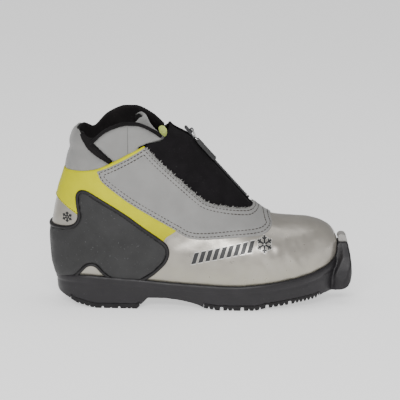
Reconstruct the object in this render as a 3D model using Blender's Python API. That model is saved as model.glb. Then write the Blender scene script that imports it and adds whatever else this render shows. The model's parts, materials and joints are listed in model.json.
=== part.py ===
"""Cross country ski boot for a right foot, as an assembly of separate pieces.

All dimensions are in millimetres until add_piece() turns them into metres.
+X points to the toe, +Y to the inner (medial) side, +Z up. The origin is on
the floor, under the middle of the boot.

The upper is a stack of thin layers. Each layer follows one foot-shaped surface,
the form, at its own distance from it, and each panel is the part of its layer
that lies inside the panel's outline in the side view.
"""
import math

import bmesh
import bpy
import numpy as np

MM = 0.001

# ---------------------------------------------------------------- the form
# One row per section, from the collar down to the heel and on to the toe:
# ridge x, z, back or base x, z, half width, share of the chord at which the
# section is widest, power of its upper and lower half, and y of its middle.
SECTIONS = (
    (-30, 175, -109, 173, 40.5, 0.48, 2.1, 2.2, 0.0),
    (-24, 163, -115, 159, 39.0, 0.48, 2.1, 2.2, 0.0),
    (-9, 154.3, -118.5, 145, 37.5, 0.48, 2.2, 2.3, 0.0),
    (1, 143.2, -119.5, 133, 37.0, 0.48, 2.2, 2.4, 0.0),
    (10, 133.2, -123.5, 120, 36.0, 0.47, 2.3, 2.5, 0.0),
    (18.5, 123.8, -128.5, 104, 35.0, 0.46, 2.4, 2.6, 0.0),
    (25, 116.6, -132.5, 87, 34.5, 0.45, 2.4, 2.7, 0.0),
    (30, 111.1, -135, 70, 34.5, 0.44, 2.4, 2.8, 0.0),
    (34, 106.6, -134.5, 52, 35.0, 0.43, 2.4, 2.9, 0.0),
    (38, 102.2, -132.5, 36, 35.5, 0.42, 2.4, 3.0, 0.0),
    (41.8, 98, -126, 24.5, 36.0, 0.42, 2.4, 3.1, 0.0),
    (45.2, 94.2, -95, 20.5, 37.0, 0.41, 2.4, 3.3, 0.0),
    (48.9, 90.4, -60, 18.5, 39.0, 0.40, 2.4, 3.4, 0.0),
    (53.4, 86.6, -25, 16, 41.5, 0.38, 2.4, 3.5, 0.0),
    (59, 82.8, 5, 14.5, 44.5, 0.38, 2.3, 3.5, 0.5),
    (66, 79.4, 32, 14, 46.5, 0.38, 2.3, 3.5, 1.0),
    (76, 77.8, 56, 15.5, 46.0, 0.38, 2.3, 3.5, 2.0),
    (88, 77, 78, 18.5, 43.0, 0.39, 2.3, 3.4, 3.0),
    (99, 76, 96, 22.5, 38.5, 0.40, 2.3, 3.2, 3.5),
    (109, 73.5, 109, 27, 32.0, 0.42, 2.3, 3.0, 4.0),
    (117, 69.5, 117.5, 32.5, 24.5, 0.45, 2.3, 2.7, 4.0),
    (122, 64, 122, 38, 17.0, 0.48, 2.2, 2.4, 4.0),
    (124.8, 58, 124.6, 44.5, 9.0, 0.50, 2.1, 2.2, 4.0),
    (125.8, 51.5, 125.8, 51.5, 0.0, 0.50, 2.0, 2.0, 4.0),
)
ROWS = 26
AROUND = 22
INNER_WING_LIFT = 3.3

# ------------------------------------------------ layers: inner, outer offset
FOOTBED = (-9.4, -6.3)
LINING = (-6.0, -3.3)
STIFFENER = (-3.0, -1.8)
PADDED = (-3.0, 0.0)
SKIN = (-1.5, 0.0)
STRETCH = (-1.5, -0.4)
COVER = (-1.5, -0.3)
SHANK = (-1.2, -0.1)
BAND = (0.3, 1.3)
OVERLAY = (0.3, 1.7)
COUNTER = (0.3, 2.0)
PIPING = (0.3, 3.0)
BINDING = (-1.5, 0.8)
GAP = 0.3
SNAP = 0.1
HIDDEN_LAP = 4.0

# ----------------------------------------- lines in the side view, as (x, z)
FEATHER = ((-145, 29.5), (-104, 29.9), (-82, 28.6), (-55, 26.9), (-36, 25.1), (-18, 24),
           (0, 23), (22, 21.9), (36, 22), (49, 23), (68, 25), (86, 27.9), (95, 29.9),
           (104, 32.6), (111.5, 35.4), (118, 38.1), (124, 43), (132, 50))
BAND_TOP = ((-145, 125.5), (-120, 125.5), (-107, 125.7), (-94, 127.8), (-82, 132.9),
            (-67, 140.9), (-47, 151.2))
OVERLAY_CORNER = (-92.5, 126.3)
OVERLAY_TOP = (OVERLAY_CORNER, (-80, 131.6), (-62.5, 140.7), (-49.2, 148.8))
OVERLAY_REAR = (OVERLAY_CORNER, (-88.6, 117.3), (-78, 107.8), (-58.5, 93.5), (-21.6, 71.5))
OVERLAY_LOWER = ((-21.6, 71.5), (-10.7, 65.6), (4.6, 64.2), (31.7, 66.2), (53.8, 67.8),
                 (62.5, 71.8), (65, 76.5), (62.9, 81.4), (60, 90))
THROAT = ((-49.2, 148.8), (-33.4, 132), (-12.2, 111.7), (-0.3, 100.8), (7.2, 95.8),
          (23.3, 91.2), (40.8, 89.0), (46.5, 89.6), (48.3, 91.8), (47, 96))
COVER_TOP = ((-49.2, 148.8), (-46.6, 151), (-40, 152.8), (-34.8, 154), (-31.6, 156.4),
             (-28.4, 160), (-26.6, 164), (-24, 166), (-10, 165.5))
BAND_END = ((-21.6, 71.5), (-26.6, 68.2), (-30.6, 65.4), (-33.3, 61))
COUNTER_TOP = ((-33.3, 61), (-53.7, 75.6), (-71.3, 88.3), (-94, 102.3), (-100.9, 106.4),
               (-105.2, 107.3), (-108.4, 106), (-109.9, 102.5), (-109.5, 95), (-108.1, 86.5))
COUNTER_FRONT = ((-33.3, 61), (-30.3, 57.6), (-29, 51.5), (-31.4, 44.6), (-36.6, 38.8), (-44, 32.4),
                 (-52, 27.6), (-64, 22))
COUNTER_HEEL = ((-108.1, 86.5), (-108.9, 81), (-112, 76.6), (-118, 73.9), (-128, 73.2), (-145, 73))
BAND_HEEL = ((-145, 103.5), (-131, 99.2), (-124.2, 95.1), (-118.9, 91.4), (-108.1, 84), (-99, 78), (-60, 60),
             (-20, 55))
WINDOW = ((-118, 24), (-110.5, 31.4), (-106, 36.2), (-102.6, 39.6), (-97.6, 41.2), (-92.6, 39.2),
          (-88.8, 34.8), (-84.2, 30.8), (-76, 25))
REAR_COLLAR_TOP = ((-145, 161.3), (-116, 161.3), (-111.6, 162.2))
REAR_COLLAR_FRONT = ((-111.6, 162.2), (-109.4, 159.5), (-105.4, 152), (-97.4, 142.8),
                     (-86.3, 136.2), (-80.5, 132.6))
WING_REAR = ((-78, 131), (-79, 135.7), (-84.8, 140.8), (-96.4, 151.5))
WING_TOP = ((-96.4, 151.5), (-84.6, 162), (-71, 167.9), (-62.3, 168.8), (-53.3, 167.6),
            (-40.9, 161.4), (-33, 154.9))
WING_FOOT = ((-33, 154.9), (-40, 153.4), (-46.8, 151.6))
BINDING_FOOT = ((-145, 134), (-87, 134.5), (-76, 137), (-60, 150), (-33, 155.2), (10, 155.2))
GUSSET_TOP = ((-145, 158.4), (-109.2, 158.4), (-104, 157.2), (-99, 154.4), (-90, 152))
GUSSET_X = (-112, -78)
LINING_TOP = ((-145, 160.8), (-112, 160.8), (-106, 157.2), (-101, 154.6), (-96, 155.6), (-88, 161.6),
              (-80, 166), (-70, 169.2), (-62, 169.8), (-52, 168.4), (-44, 165),
              (-36, 158.2), (-31, 152.5), (-20, 148))
VAMP_SPLIT_X = -62
BINDING_WIDTH = 2.5
PIPING_WIDTH = 2.6

TURNED_IN = 6.2
COUNTER_OVER_SOLE = 1.5
PIPING_OVER_SOLE = 2.2
STIFFENER_TOP = ((-145, 96), (-60, 80))
STIFFENER_FRONT_X = -78
STIFFENER_TURNED_IN = 4
TOE_PUFF_BACK_X = 80
FOOTBED_UP = 2
SHANK_X = (-96, 24)
SHANK_HALF_WIDTH = 11
SHANK_UNDER_FEATHER = 6.8

# ------------------------------------------------------------ tongue and lace
TONGUE_THICKNESS = 4.0
TONGUE_ROWS = 20
TONGUE_ACROSS = 11
TONGUE_HALF_ANGLE = 0.95
# How far the tongue's ridge stays out from the leg's middle, row by row of SECTIONS.
TONGUE_SHARE = (0.52, 0.58, 0.56, 0.62, 0.69, 0.75, 0.79, 0.82, 0.84, 0.85, 0.86, 0.87, 0.87, 0.86)
TONGUE_SIDE_GAP = 8.4
TONGUE_TOP = 172.4
TONGUE_TIP = ((-90, 60), (-62, 160), (-57, 168), (-52, 172.4), (-47, 172))
TONGUE_TAB = ((-31.8, 164.8), (-34.6, 165.4), (-37, 163.4), (-36.4, 159.6), (-33, 156),
              (-31, 155.6), (-29.6, 157.6), (-29.8, 161.6), (-31.8, 164.8))
TONGUE_TAB_Y = (-20.6, -19.2)
LACE_RADIUS = 1.1
LACE_OVER_TONGUE = 2.8
LACE_FIRST_ROW = 6
LACE_ROWS_PER_TURN = 1.5
LACE_TURNS = 7
LACE_STAY = (4.5, 13)
LACE_STAY_UNDER_BAND = 6
LACE_STAY_FRONT_X = 40

# ------------------------------------------------------------------- the sole
SOLE_BOTTOM = ((-130, 14.3), (-128, 12.4), (-118, 7.9), (-111, 4.2), (-99, 0.9), (-94, 0),
               (-57, 0), (-47, 10.3), (-32, 10.3), (-18, 8.7), (-9, 6.8), (-1, 4.4), (3, 2.2),
               (15, 0), (50, 0), (58, 2), (79, 4.6), (90, 6.2), (104, 8.4), (112, 11.6))
TREAD_THICKNESS = 4.4
HEEL_TREAD_X = (-117, -54.5)
FOREFOOT_TREAD_X = (3.5, 108)
FOREFOOT_SLOTS_X = (19.5, 38, 60.5, 81)
FOREFOOT_SLOT = (3.2, 3.2)
HEEL_SLOTS_X = (-88, -73)
HEEL_SLOT = (2.3, 1.8)
# Distance outside the feather line, and height from it, down the side of the sole.
SOLE_SIDE = ((3.0, 14), (2.9, -5), (1.3, -6.2), (1.3, -7.4), (1.9, -9), (0.9, -24), (0.4, -48))
UPPER_CLEARANCE = 0.5
TOE_BLOCK = ((108, 13), (118, 12.2), (127, 13.1), (131.4, 14), (135, 16.2), (137.4, 20.5),
             (138.5, 27.5), (138, 36), (136.8, 45), (135, 53.4), (133.6, 55.2), (127, 55.2), (108, 46))
TOE_BLOCK_Y = 4.0
TOE_BLOCK_HALF_WIDTH = 22.5
TOE_BLOCK_CORNER = 9.0
# The block's half width at each height: it narrows towards the nub.
TOE_BLOCK_TAPER = ((0, 22.5), (20, 22.5), (31, 20.4), (42, 16.6), (51, 12.0), (57, 9.6))
TOE_NUB = ((126.6, 55.6), (133.4, 55.6), (132.8, 59), (130.6, 61.6), (128.2, 62), (126.6, 59.5))
TOE_NUB_HALF_WIDTH = 8.0
PIN_X = 124.0
PIN_Z = 17.5
PIN_RADIUS = 2.0
PIN_HALF_LENGTH = 19.0
PIN_SLOT_X = (116.5, 131.5)
PIN_SLOT_TOP = 26.5
PIN_SLOT_HALF_WIDTH = 14.0

# -------------------------------------------------------------------- the zip
# The zip lies on the straight part of the ridge. s runs down along it from
# ZIP_START, v stands out from the boot, and y is the boot's own y.
ZIP_START = (-9.0, 154.3)
ZIP_END = (41.8, 98.0)
TAPE_HALF_WIDTH = 4.4
TEETH_HALF_WIDTH = 1.9
TEETH_TOP = 1.3
TEETH_S = (-5.5, 77.0)
TEETH_COUNT = 22
SLIDER_S = (-8.2, 0.6)
SLIDER_HALF_WIDTH = 4.0
SLIDER_TOP = 2.4
CROWN_S = -1.6
CROWN_V = 4.0
BAIL_RADIUS = 0.55
GRIP_S = 7.6
GRIP_V = 2.0
GRIP_Y = -5.5
GRIP_LENGTH = 25.7
GRIP_WIDTH = 5.2
GRIP_V_RANGE = (0.15, 3.9)

# ----------------------------------------------------------------- the colours
SILVER = (0.60, 0.58, 0.54)
MATTE_GREY = (0.37, 0.37, 0.36)
LIME = (0.55, 0.56, 0.03)
PALE_LIME = (0.70, 0.80, 0.27)
COUNTER_GREY = (0.055, 0.056, 0.058)
BLACK = (0.014, 0.013, 0.015)
SOLE_BLACK = (0.022, 0.021, 0.022)
STEEL = (0.62, 0.62, 0.63)
NUB_GREY = (0.50, 0.49, 0.47)
BOARD_TAN = (0.42, 0.33, 0.22)


# =========================================================== curves and fields
def smooth_line(points, steps=6):
    """A Catmull-Rom curve through points, as a line with steps parts a span."""
    points = np.array(points, float)
    if len(points) < 3:
        return points
    slopes = np.gradient(points, axis=0)
    line = []
    for start in range(len(points) - 1):
        for u in np.arange(steps) / steps:
            line.append((2 * u**3 - 3 * u**2 + 1) * points[start]
                        + (u**3 - 2 * u**2 + u) * slopes[start]
                        + (3 * u**2 - 2 * u**3) * points[start + 1]
                        + (u**3 - u**2) * slopes[start + 1])
    line.append(points[-1])
    return np.array(line)


def outline(*strokes):
    """A closed outline of smooth strokes that meet at corners."""
    return np.concatenate([smooth_line(stroke) for stroke in strokes])


def height_of(line, x):
    """Height z of a line given as (x, z) points, at each x."""
    points = smooth_line(line)
    return np.interp(x, points[:, 0], points[:, 1])


def depth_inside(shape, flat):
    """Distance of flat (x, z) points to an outline, positive inside it."""
    starts = shape
    ends = np.roll(shape, -1, axis=0)
    along = ends - starts
    length2 = np.maximum((along**2).sum(1), 1e-12)
    reach = flat[:, None, :] - starts[None]
    share = np.clip((reach * along).sum(2) / length2, 0, 1)
    nearest = np.sqrt(((reach - share[..., None] * along) ** 2).sum(2)).min(1)
    z = flat[:, 1][:, None]
    crosses = (starts[:, 1] > z) != (ends[:, 1] > z)
    rise = np.where(np.abs(along[:, 1]) < 1e-12, 1e-12, along[:, 1])
    at_x = starts[:, 0] + (z - starts[:, 1]) / rise * along[:, 0]
    inside = (crosses & (flat[:, 0][:, None] < at_x)).sum(1) % 2 == 1
    return np.where(inside, nearest, -nearest)


def side_view(points):
    """The (x, z) of points, with the higher inner wing drawn down to the outer one."""
    share = np.clip((points[:, 2] - 140) / 28, 0, 1) * np.clip(points[:, 1] / 30, 0, 1)
    return np.stack([points[:, 0], points[:, 2] - INNER_WING_LIFT * share], 1)


def within(shape, margin=0.0):
    """Field: how far inside an outline a point lies, less a margin."""
    return lambda points: depth_inside(shape, side_view(points)) - margin


def without(shape, margin=0.0):
    """Field: how far outside an outline a point lies, less a margin."""
    return lambda points: -depth_inside(shape, side_view(points)) - margin


def above(line, margin=0.0):
    """Field: height of a point over a line, less a margin."""
    return lambda points: points[:, 2] - height_of(line, points[:, 0]) - margin


def below(line, margin=0.0):
    """Field: height of a point under a line, less a margin."""
    return lambda points: height_of(line, points[:, 0]) - points[:, 2] - margin


def under_top(line, margin=0.0):
    """Field: height of a point under a top line, which follows the inner wing's lift."""
    def field(points):
        flat = side_view(points)
        return height_of(line, flat[:, 0]) - flat[:, 1] - margin
    return field


def outer_side(margin):
    """Field: distance towards the outer (lateral) side."""
    return lambda points: -points[:, 1] - margin


def inner_side(margin):
    """Field: distance towards the inner (medial) side."""
    return lambda points: points[:, 1] - margin


def near_middle(margin):
    """Field: distance inside the strip along the boot's middle."""
    return lambda points: margin - np.abs(points[:, 1])


def ahead_of(x):
    """Field: distance ahead of a crosswise plane."""
    return lambda points: points[:, 0] - x


def behind(x):
    """Field: distance behind a crosswise plane."""
    return lambda points: x - points[:, 0]


# ============================================================ sheets of the form
def section_row(row, around):
    """Points round one section: ridge, outer side, base, inner side."""
    ridge_x, ridge_z, base_x, base_z, width, widest, power_up, power_down, middle = row
    angle = np.linspace(0, math.pi, 240)
    power = np.where(np.cos(angle) >= 0, power_up, power_down)
    rise = np.sign(np.cos(angle)) * np.abs(np.cos(angle)) ** (2 / power)
    half = width * np.abs(np.sin(angle)) ** (2 / power)
    share = np.where(rise >= 0, widest + (1 - widest) * rise, widest + widest * rise)
    chord = math.hypot(ridge_x - base_x, ridge_z - base_z)
    arc = np.concatenate([[0], np.cumsum(np.hypot(np.diff(share * chord), np.diff(half)))])
    even = np.linspace(0, arc[-1], around // 2 + 1)
    share = np.interp(even, arc, share)
    half = np.interp(even, arc, half)
    x = base_x + (ridge_x - base_x) * share
    z = base_z + (ridge_z - base_z) * share
    outer = np.stack([x, middle - half, z], 1)
    inner = np.stack([x, middle + half, z], 1)
    return np.concatenate([outer, inner[-2:0:-1]])


def form_grid(rows=ROWS, around=AROUND):
    """Grid of points on the form; its last row is the toe's tip."""
    stations = np.array(SECTIONS, float)
    slopes = np.gradient(stations, axis=0)
    place = np.linspace(0, len(stations) - 1, rows)
    start = np.minimum(place.astype(int), len(stations) - 2)
    u = (place - start)[:, None]
    table = ((2 * u**3 - 3 * u**2 + 1) * stations[start] + (u**3 - 2 * u**2 + u) * slopes[start]
             + (3 * u**2 - 2 * u**3) * stations[start + 1] + (u**3 - u**2) * slopes[start + 1])
    table[:, 4] = np.maximum(table[:, 4], 0)
    return np.stack([section_row(row, around) for row in table])


def outward_of(grid):
    """Unit outward direction at each grid point."""
    along = np.gradient(grid, axis=0)
    around = (np.roll(grid, -1, axis=1) - np.roll(grid, 1, axis=1)) / 2
    outward = np.cross(around, along)
    length = np.linalg.norm(outward, axis=2, keepdims=True)
    outward = outward / np.maximum(length, 1e-9)
    outward[-1] = (1, 0, 0)
    middle = grid.mean(axis=1, keepdims=True)
    inward = ((grid - middle) * outward).sum(2).sum() < 0
    return -outward if inward else outward


def sheet_of(grid, outward):
    """Triangulated sheet of a grid that closes round and ends in a tip."""
    rows, around = grid.shape[:2]
    tip = (rows - 1) * around
    points = np.concatenate([grid[:-1].reshape(-1, 3), grid[-1, :1]])
    outward = np.concatenate([outward[:-1].reshape(-1, 3), outward[-1, :1]])
    faces = []
    for row in range(rows - 1):
        for column in range(around):
            a = row * around + column
            b = row * around + (column + 1) % around
            c = tip if row == rows - 2 else b + around
            d = tip if row == rows - 2 else a + around
            if column < around // 2:
                corners = ((a, b, c), (a, c, d))
            else:
                corners = ((a, b, d), (b, c, d))
            faces += [corner for corner in corners if len(set(corner)) == 3]
    first = faces[0]
    normal = np.cross(points[first[1]] - points[first[0]], points[first[2]] - points[first[0]])
    if normal @ outward[first[0]] < 0:
        faces = [face[::-1] for face in faces]
    return points, outward, faces


def clipped(sheet, *fields):
    """The part of a sheet where every field is above zero.

    The fields are read at the sheet's own points and run straight between them, so
    two pieces cut from one sheet along one line leave the same gap everywhere.
    """
    points, outward, faces = sheet
    table = np.column_stack([points, outward] + [field(points) for field in fields])
    for column in range(6, table.shape[1]):
        table, faces = cut_at_zero(table, faces, column)
    return tidied(table[:, :3], table[:, 3:6], largest_patch(faces))


def cut_at_zero(table, faces, column):
    """Cut faces where one column of the points' table changes sign."""
    value = np.where(np.abs(table[:, column]) < SNAP, 0, table[:, column])
    rows = list(table)
    crossings = {}

    def crossing(one, other):
        low, high = min(one, other), max(one, other)
        if (low, high) not in crossings:
            share = value[low] / (value[low] - value[high])
            crossings[low, high] = len(rows)
            rows.append(rows[low] + (rows[high] - rows[low]) * share)
        return crossings[low, high]

    kept = []
    for face in faces:
        if max(value[corner] for corner in face) <= 0:
            continue
        loop = []
        for here, after in zip(face, face[1:] + face[:1]):
            if value[here] >= 0:
                loop.append(here)
            if value[here] * value[after] < 0:
                loop.append(crossing(here, after))
        kept += [(loop[0], loop[turn], loop[turn + 1]) for turn in range(1, len(loop) - 1)]
    return np.array(rows), kept


def largest_patch(faces):
    """The biggest set of faces that hang together by their edges."""
    owners = {}
    for index, face in enumerate(faces):
        for here, after in zip(face, face[1:] + face[:1]):
            owners.setdefault((min(here, after), max(here, after)), []).append(index)
    patch = [-1] * len(faces)
    count = 0
    for seed in range(len(faces)):
        if patch[seed] >= 0:
            continue
        stack = [seed]
        patch[seed] = count
        while stack:
            face = faces[stack.pop()]
            for here, after in zip(face, face[1:] + face[:1]):
                for other in owners[min(here, after), max(here, after)]:
                    if patch[other] < 0:
                        patch[other] = count
                        stack.append(other)
        count += 1
    biggest = max(range(count), key=patch.count)
    return [face for face, owner in zip(faces, patch) if owner == biggest]


def tidied(points, outward, faces):
    """Drop the points that no face uses."""
    used = sorted({corner for face in faces for corner in face})
    place = {old: new for new, old in enumerate(used)}
    return points[used], outward[used], [tuple(place[corner] for corner in face) for face in faces]


def rim_edges(faces):
    """Directed edges that only one face has."""
    edges = {(here, after) for face in faces for here, after in zip(face, face[1:] + face[:1])}
    return sorted(edge for edge in edges if edge[::-1] not in edges)


def rim_loop(sheet):
    """The points of a sheet's longest rim, in order."""
    points, _, faces = sheet
    follow = dict(rim_edges(faces))
    loops = []
    while follow:
        start, here = follow.popitem()
        loop = [start]
        while here != start:
            loop.append(here)
            here = follow.pop(here)
        loops.append(loop)
    return points[max(loops, key=len)]


# ================================================================== making pieces
def add_material(name, colour, roughness, metallic=0.0):
    material = bpy.data.materials.new(name)
    material.use_nodes = True
    shader = material.node_tree.nodes["Principled BSDF"]
    shader.inputs["Base Color"].default_value = (*colour, 1)
    shader.inputs["Roughness"].default_value = roughness
    shader.inputs["Metallic"].default_value = metallic
    material.diffuse_color = (*colour, 1)
    return material


def add_piece(name, points, faces, look=None, origin=(0, 0, 0), smooth=True):
    """An object from points in millimetres, with its own origin and material."""
    mesh = bpy.data.meshes.new(name)
    corners = (np.array(points, float) - np.array(origin, float)) * MM
    mesh.from_pydata(corners.tolist(), [], [tuple(face) for face in faces])
    if smooth:
        mesh.shade_smooth()
        mesh.set_sharp_from_angle(angle=math.radians(40))
    piece = bpy.data.objects.new(name, mesh)
    piece.location = np.array(origin, float) * MM
    if look:
        mesh.materials.append(add_material(name, *look))
    bpy.context.collection.objects.link(piece)
    return piece


def add_shell(name, sheet, layer, look):
    """A closed body between two offsets of a sheet."""
    points, outward, faces = sheet
    count = len(points)
    body = np.concatenate([points + outward * layer[1], points + outward * layer[0]])
    sides = list(faces) + [tuple(corner + count for corner in face[::-1]) for face in faces]
    for here, after in rim_edges(faces):
        sides += [(after, here, here + count), (after, here + count, after + count)]
    return add_piece(name, body, sides, look)


def add_prism(name, shape, low, high, look=None, axis="y", smooth=False):
    """An outline pushed through from low to high along one axis."""
    count = len(shape)
    if axis == "x":
        ends = [[(level, y, z) for y, z in shape] for level in (low, high)]
    elif axis == "y":
        ends = [[(x, level, z) for x, z in shape] for level in (low, high)]
    else:
        ends = [[(x, y, level) for x, y in shape] for level in (low, high)]
    faces = [tuple(range(count)), tuple(range(2 * count - 1, count - 1, -1))]
    for here in range(count):
        after = (here + 1) % count
        faces.append((after, here, here + count, after + count))
    piece = add_piece(name, ends[0] + ends[1], faces, look, smooth=smooth)
    turn_outward(piece)
    return piece


def turn_outward(piece):
    """Point every face of a closed mesh outward, as triangles."""
    mesh = bmesh.new()
    mesh.from_mesh(piece.data)
    bmesh.ops.triangulate(mesh, faces=mesh.faces)
    bmesh.ops.recalc_face_normals(mesh, faces=mesh.faces)
    mesh.to_mesh(piece.data)
    mesh.free()


def as_cutter(piece):
    piece.hide_render = True
    piece.display_type = "WIRE"
    return piece


def combine(piece, other, operation):
    """Boolean of a piece with another object that is only a cutter."""
    as_cutter(other)
    boolean = piece.modifiers.new(operation.lower(), "BOOLEAN")
    boolean.object = other
    boolean.operation = operation
    boolean.solver = "EXACT"


def add_rod(name, start, end, radius, look=None, sides=12):
    """A closed cylinder between two points."""
    start = np.array(start, float)
    end = np.array(end, float)
    along = (end - start) / np.linalg.norm(end - start)
    across = np.cross(along, (1, 0, 0) if abs(along[0]) < 0.9 else (0, 0, 1))
    across /= np.linalg.norm(across)
    up = np.cross(along, across)
    turn = [2 * math.pi * side / sides for side in range(sides)]
    ring = [radius * (math.cos(angle) * across + math.sin(angle) * up) for angle in turn]
    points = [start + spoke for spoke in ring] + [end + spoke for spoke in ring]
    faces = [tuple(range(sides)), tuple(range(2 * sides - 1, sides - 1, -1))]
    faces += [((side + 1) % sides, side, side + sides, (side + 1) % sides + sides) for side in range(sides)]
    piece = add_piece(name, points, faces, look)
    turn_outward(piece)
    return piece


def add_tube(name, points, radius, look, closed=False, resolution=2):
    """A round tube along points, as a curve with a bevel."""
    curve = bpy.data.curves.new(name, "CURVE")
    curve.dimensions = "3D"
    curve.bevel_depth = radius * MM
    curve.bevel_resolution = resolution
    curve.render_resolution_u = 0
    curve.use_fill_caps = not closed
    spline = curve.splines.new("POLY")
    spline.points.add(len(points) - 1)
    for knot, place in zip(spline.points, points):
        knot.co = (*(np.array(place) * MM), 1)
    spline.use_cyclic_u = closed
    curve.materials.append(add_material(name, *look))
    tube = bpy.data.objects.new(name, curve)
    bpy.context.collection.objects.link(tube)
    return tube


def box_piece(name, x, y, z, look=None):
    """A box between two values of each axis."""
    return add_prism(name, [(x[0], z[0]), (x[1], z[0]), (x[1], z[1]), (x[0], z[1])], y[0], y[1], look)


# =================================================================== the outlines
def throat_shape():
    """Where the overlay leaves the instep open, up to beyond the ridge."""
    return outline(THROAT, ((60, 110), (60, 200), (-10, 200)), COVER_TOP[::-1])


def overlay_shape():
    return outline(OVERLAY_TOP, THROAT, ((60, 96),), OVERLAY_LOWER[::-1], OVERLAY_REAR[::-1])


def band_end_shape():
    """Everything behind the slanted front end of the side band."""
    return outline(BAND_END, ((-60, 20), (-160, 20), (-160, 200), (60, 200), (60, 140)))


def counter_shape():
    return outline(COUNTER_TOP, COUNTER_HEEL, ((-145, 10), (-64, 10)), COUNTER_FRONT[::-1])


def window_shape():
    return outline(WINDOW, ((-76, 10), (-118, 10)))


def rear_collar_shape():
    return outline(REAR_COLLAR_TOP, REAR_COLLAR_FRONT, ((-80.5, 110), (-145, 110)))


def wing_shape():
    return outline(WING_REAR, WING_TOP, WING_FOOT, ((-54.5, 148.4), (-57, 141), (-78, 120)))


def cover_shape():
    return outline(COVER_TOP, ((-10, 200), (80, 200), (80, 60), (-70, 60), (-70, 147.4)))


# ============================================================ pieces of the upper
def make_vamp(form):
    """Silver forefoot and midfoot skin, turned in a little under the foot."""
    skin = clipped(form, ahead_of(VAMP_SPLIT_X + GAP / 2), without(throat_shape(), HIDDEN_LAP),
                   below(BAND_TOP, HIDDEN_LAP), above(FEATHER, -TURNED_IN))
    add_shell("vamp", skin, SKIN, (SILVER, 0.38, 0.15))


def make_heel_quarter(form):
    """Silver skin round the heel, which shows as the heel patch and in the windows."""
    skin = clipped(form, behind(VAMP_SPLIT_X - GAP / 2), below(BAND_TOP, HIDDEN_LAP),
                   above(FEATHER, -TURNED_IN))
    add_shell("heel_quarter", skin, SKIN, (SILVER, 0.38, 0.15))


def make_side_band(form):
    """Lime band round the heel, which runs forward under the ankle on both sides."""
    band = clipped(form, below(BAND_TOP, GAP / 2), behind(BAND_END[0][0] + 1.5), within(band_end_shape()),
                   above(BAND_HEEL, GAP / 2), without(overlay_shape(), GAP / 2),
                   without(counter_shape(), GAP / 2), without(throat_shape(), GAP))
    add_shell("side_band", band, BAND, (LIME, 0.45))


def make_throat_overlay(form):
    """Matte grey eyestay round the throat."""
    overlay = clipped(form, within(overlay_shape(), GAP / 2))
    add_shell("throat_overlay", overlay, OVERLAY, (MATTE_GREY, 0.7))


def make_heel_counter(form):
    """Dark moulded heel cup with a window on each side, and its raised piping."""
    edge = PIPING_WIDTH / 2
    cup = clipped(form, within(counter_shape(), edge + GAP), without(window_shape(), edge + GAP),
                  above(FEATHER, COUNTER_OVER_SOLE))
    add_shell("heel_counter", cup, COUNTER, (COUNTER_GREY, 0.55))
    look = (BLACK, 0.5)
    rim = clipped(form, within(counter_shape(), GAP / 2), without(counter_shape(), -edge),
                  above(FEATHER, PIPING_OVER_SOLE))
    add_shell("counter_piping", rim, PIPING, look)
    for side, place in (("lateral", outer_side(0)), ("medial", inner_side(0))):
        rim = clipped(form, place, without(window_shape(), GAP / 2), within(window_shape(), -edge),
                      above(FEATHER, PIPING_OVER_SOLE))
        add_shell("window_piping_" + side, rim, PIPING, look)


def make_rear_collar(form):
    """Padded grey collar behind the ankle."""
    collar = clipped(form, within(rear_collar_shape(), GAP / 2), above(BAND_TOP, GAP - HIDDEN_LAP))
    add_shell("rear_collar", collar, PADDED, (MATTE_GREY, 0.75))


def make_collar_sides(form):
    """Padded wing, its bound edge and the stretch gusset behind it, on each side."""
    for side, place in (("lateral", outer_side(8)), ("medial", inner_side(8))):
        wing = clipped(form, place, within(wing_shape(), GAP / 2), above(BAND_TOP, GAP - HIDDEN_LAP))
        add_shell("collar_wing_" + side, wing, PADDED, (MATTE_GREY, 0.75))
        edge = clipped(form, place, above(BINDING_FOOT), without(wing_shape(), GAP / 2),
                       within(wing_shape(), -GAP / 2 - BINDING_WIDTH), without(throat_shape(), GAP))
        add_shell("wing_binding_" + side, edge, BINDING, (BLACK, 0.7))
        gusset = clipped(form, place, without(rear_collar_shape(), GAP / 2),
                         without(wing_shape(), BINDING_WIDTH + 2 * GAP), under_top(GUSSET_TOP),
                         above(BAND_TOP, GAP - HIDDEN_LAP), ahead_of(GUSSET_X[0]), behind(GUSSET_X[1]))
        add_shell("gusset_" + side, gusset, STRETCH, (BLACK, 0.85))


def make_lining(form):
    """Black textile lining, open at the collar and at the throat."""
    lining = clipped(form, under_top(LINING_TOP), without(throat_shape(), 1.5))
    add_shell("lining", lining, LINING, (BLACK, 0.9))


def make_stiffeners(form):
    """Hidden heel stiffener and toe puff, between skin and lining."""
    cup = clipped(form, behind(STIFFENER_FRONT_X), below(STIFFENER_TOP),
                  above(FEATHER, -STIFFENER_TURNED_IN))
    add_shell("heel_stiffener", cup, STIFFENER, (BOARD_TAN, 0.8))
    puff = clipped(form, ahead_of(TOE_PUFF_BACK_X), above(FEATHER, -STIFFENER_TURNED_IN))
    add_shell("toe_puff", puff, STIFFENER, (BOARD_TAN, 0.8))


def make_bottom(form):
    """Insole board, footbed and the stiff shank under the arch."""
    board = clipped(form, below(FEATHER, STIFFENER_TURNED_IN + GAP))
    add_shell("insole_board", board, STIFFENER, (BOARD_TAN, 0.85))
    footbed = clipped(form, below(FEATHER, -FOOTBED_UP))
    add_shell("footbed", footbed, FOOTBED, (MATTE_GREY, 0.9))
    shank = clipped(form, below(FEATHER, SHANK_UNDER_FEATHER), near_middle(SHANK_HALF_WIDTH),
                    ahead_of(SHANK_X[0]), behind(SHANK_X[1]))
    add_shell("shank", shank, SHANK, (STEEL, 0.4, 1.0))


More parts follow.
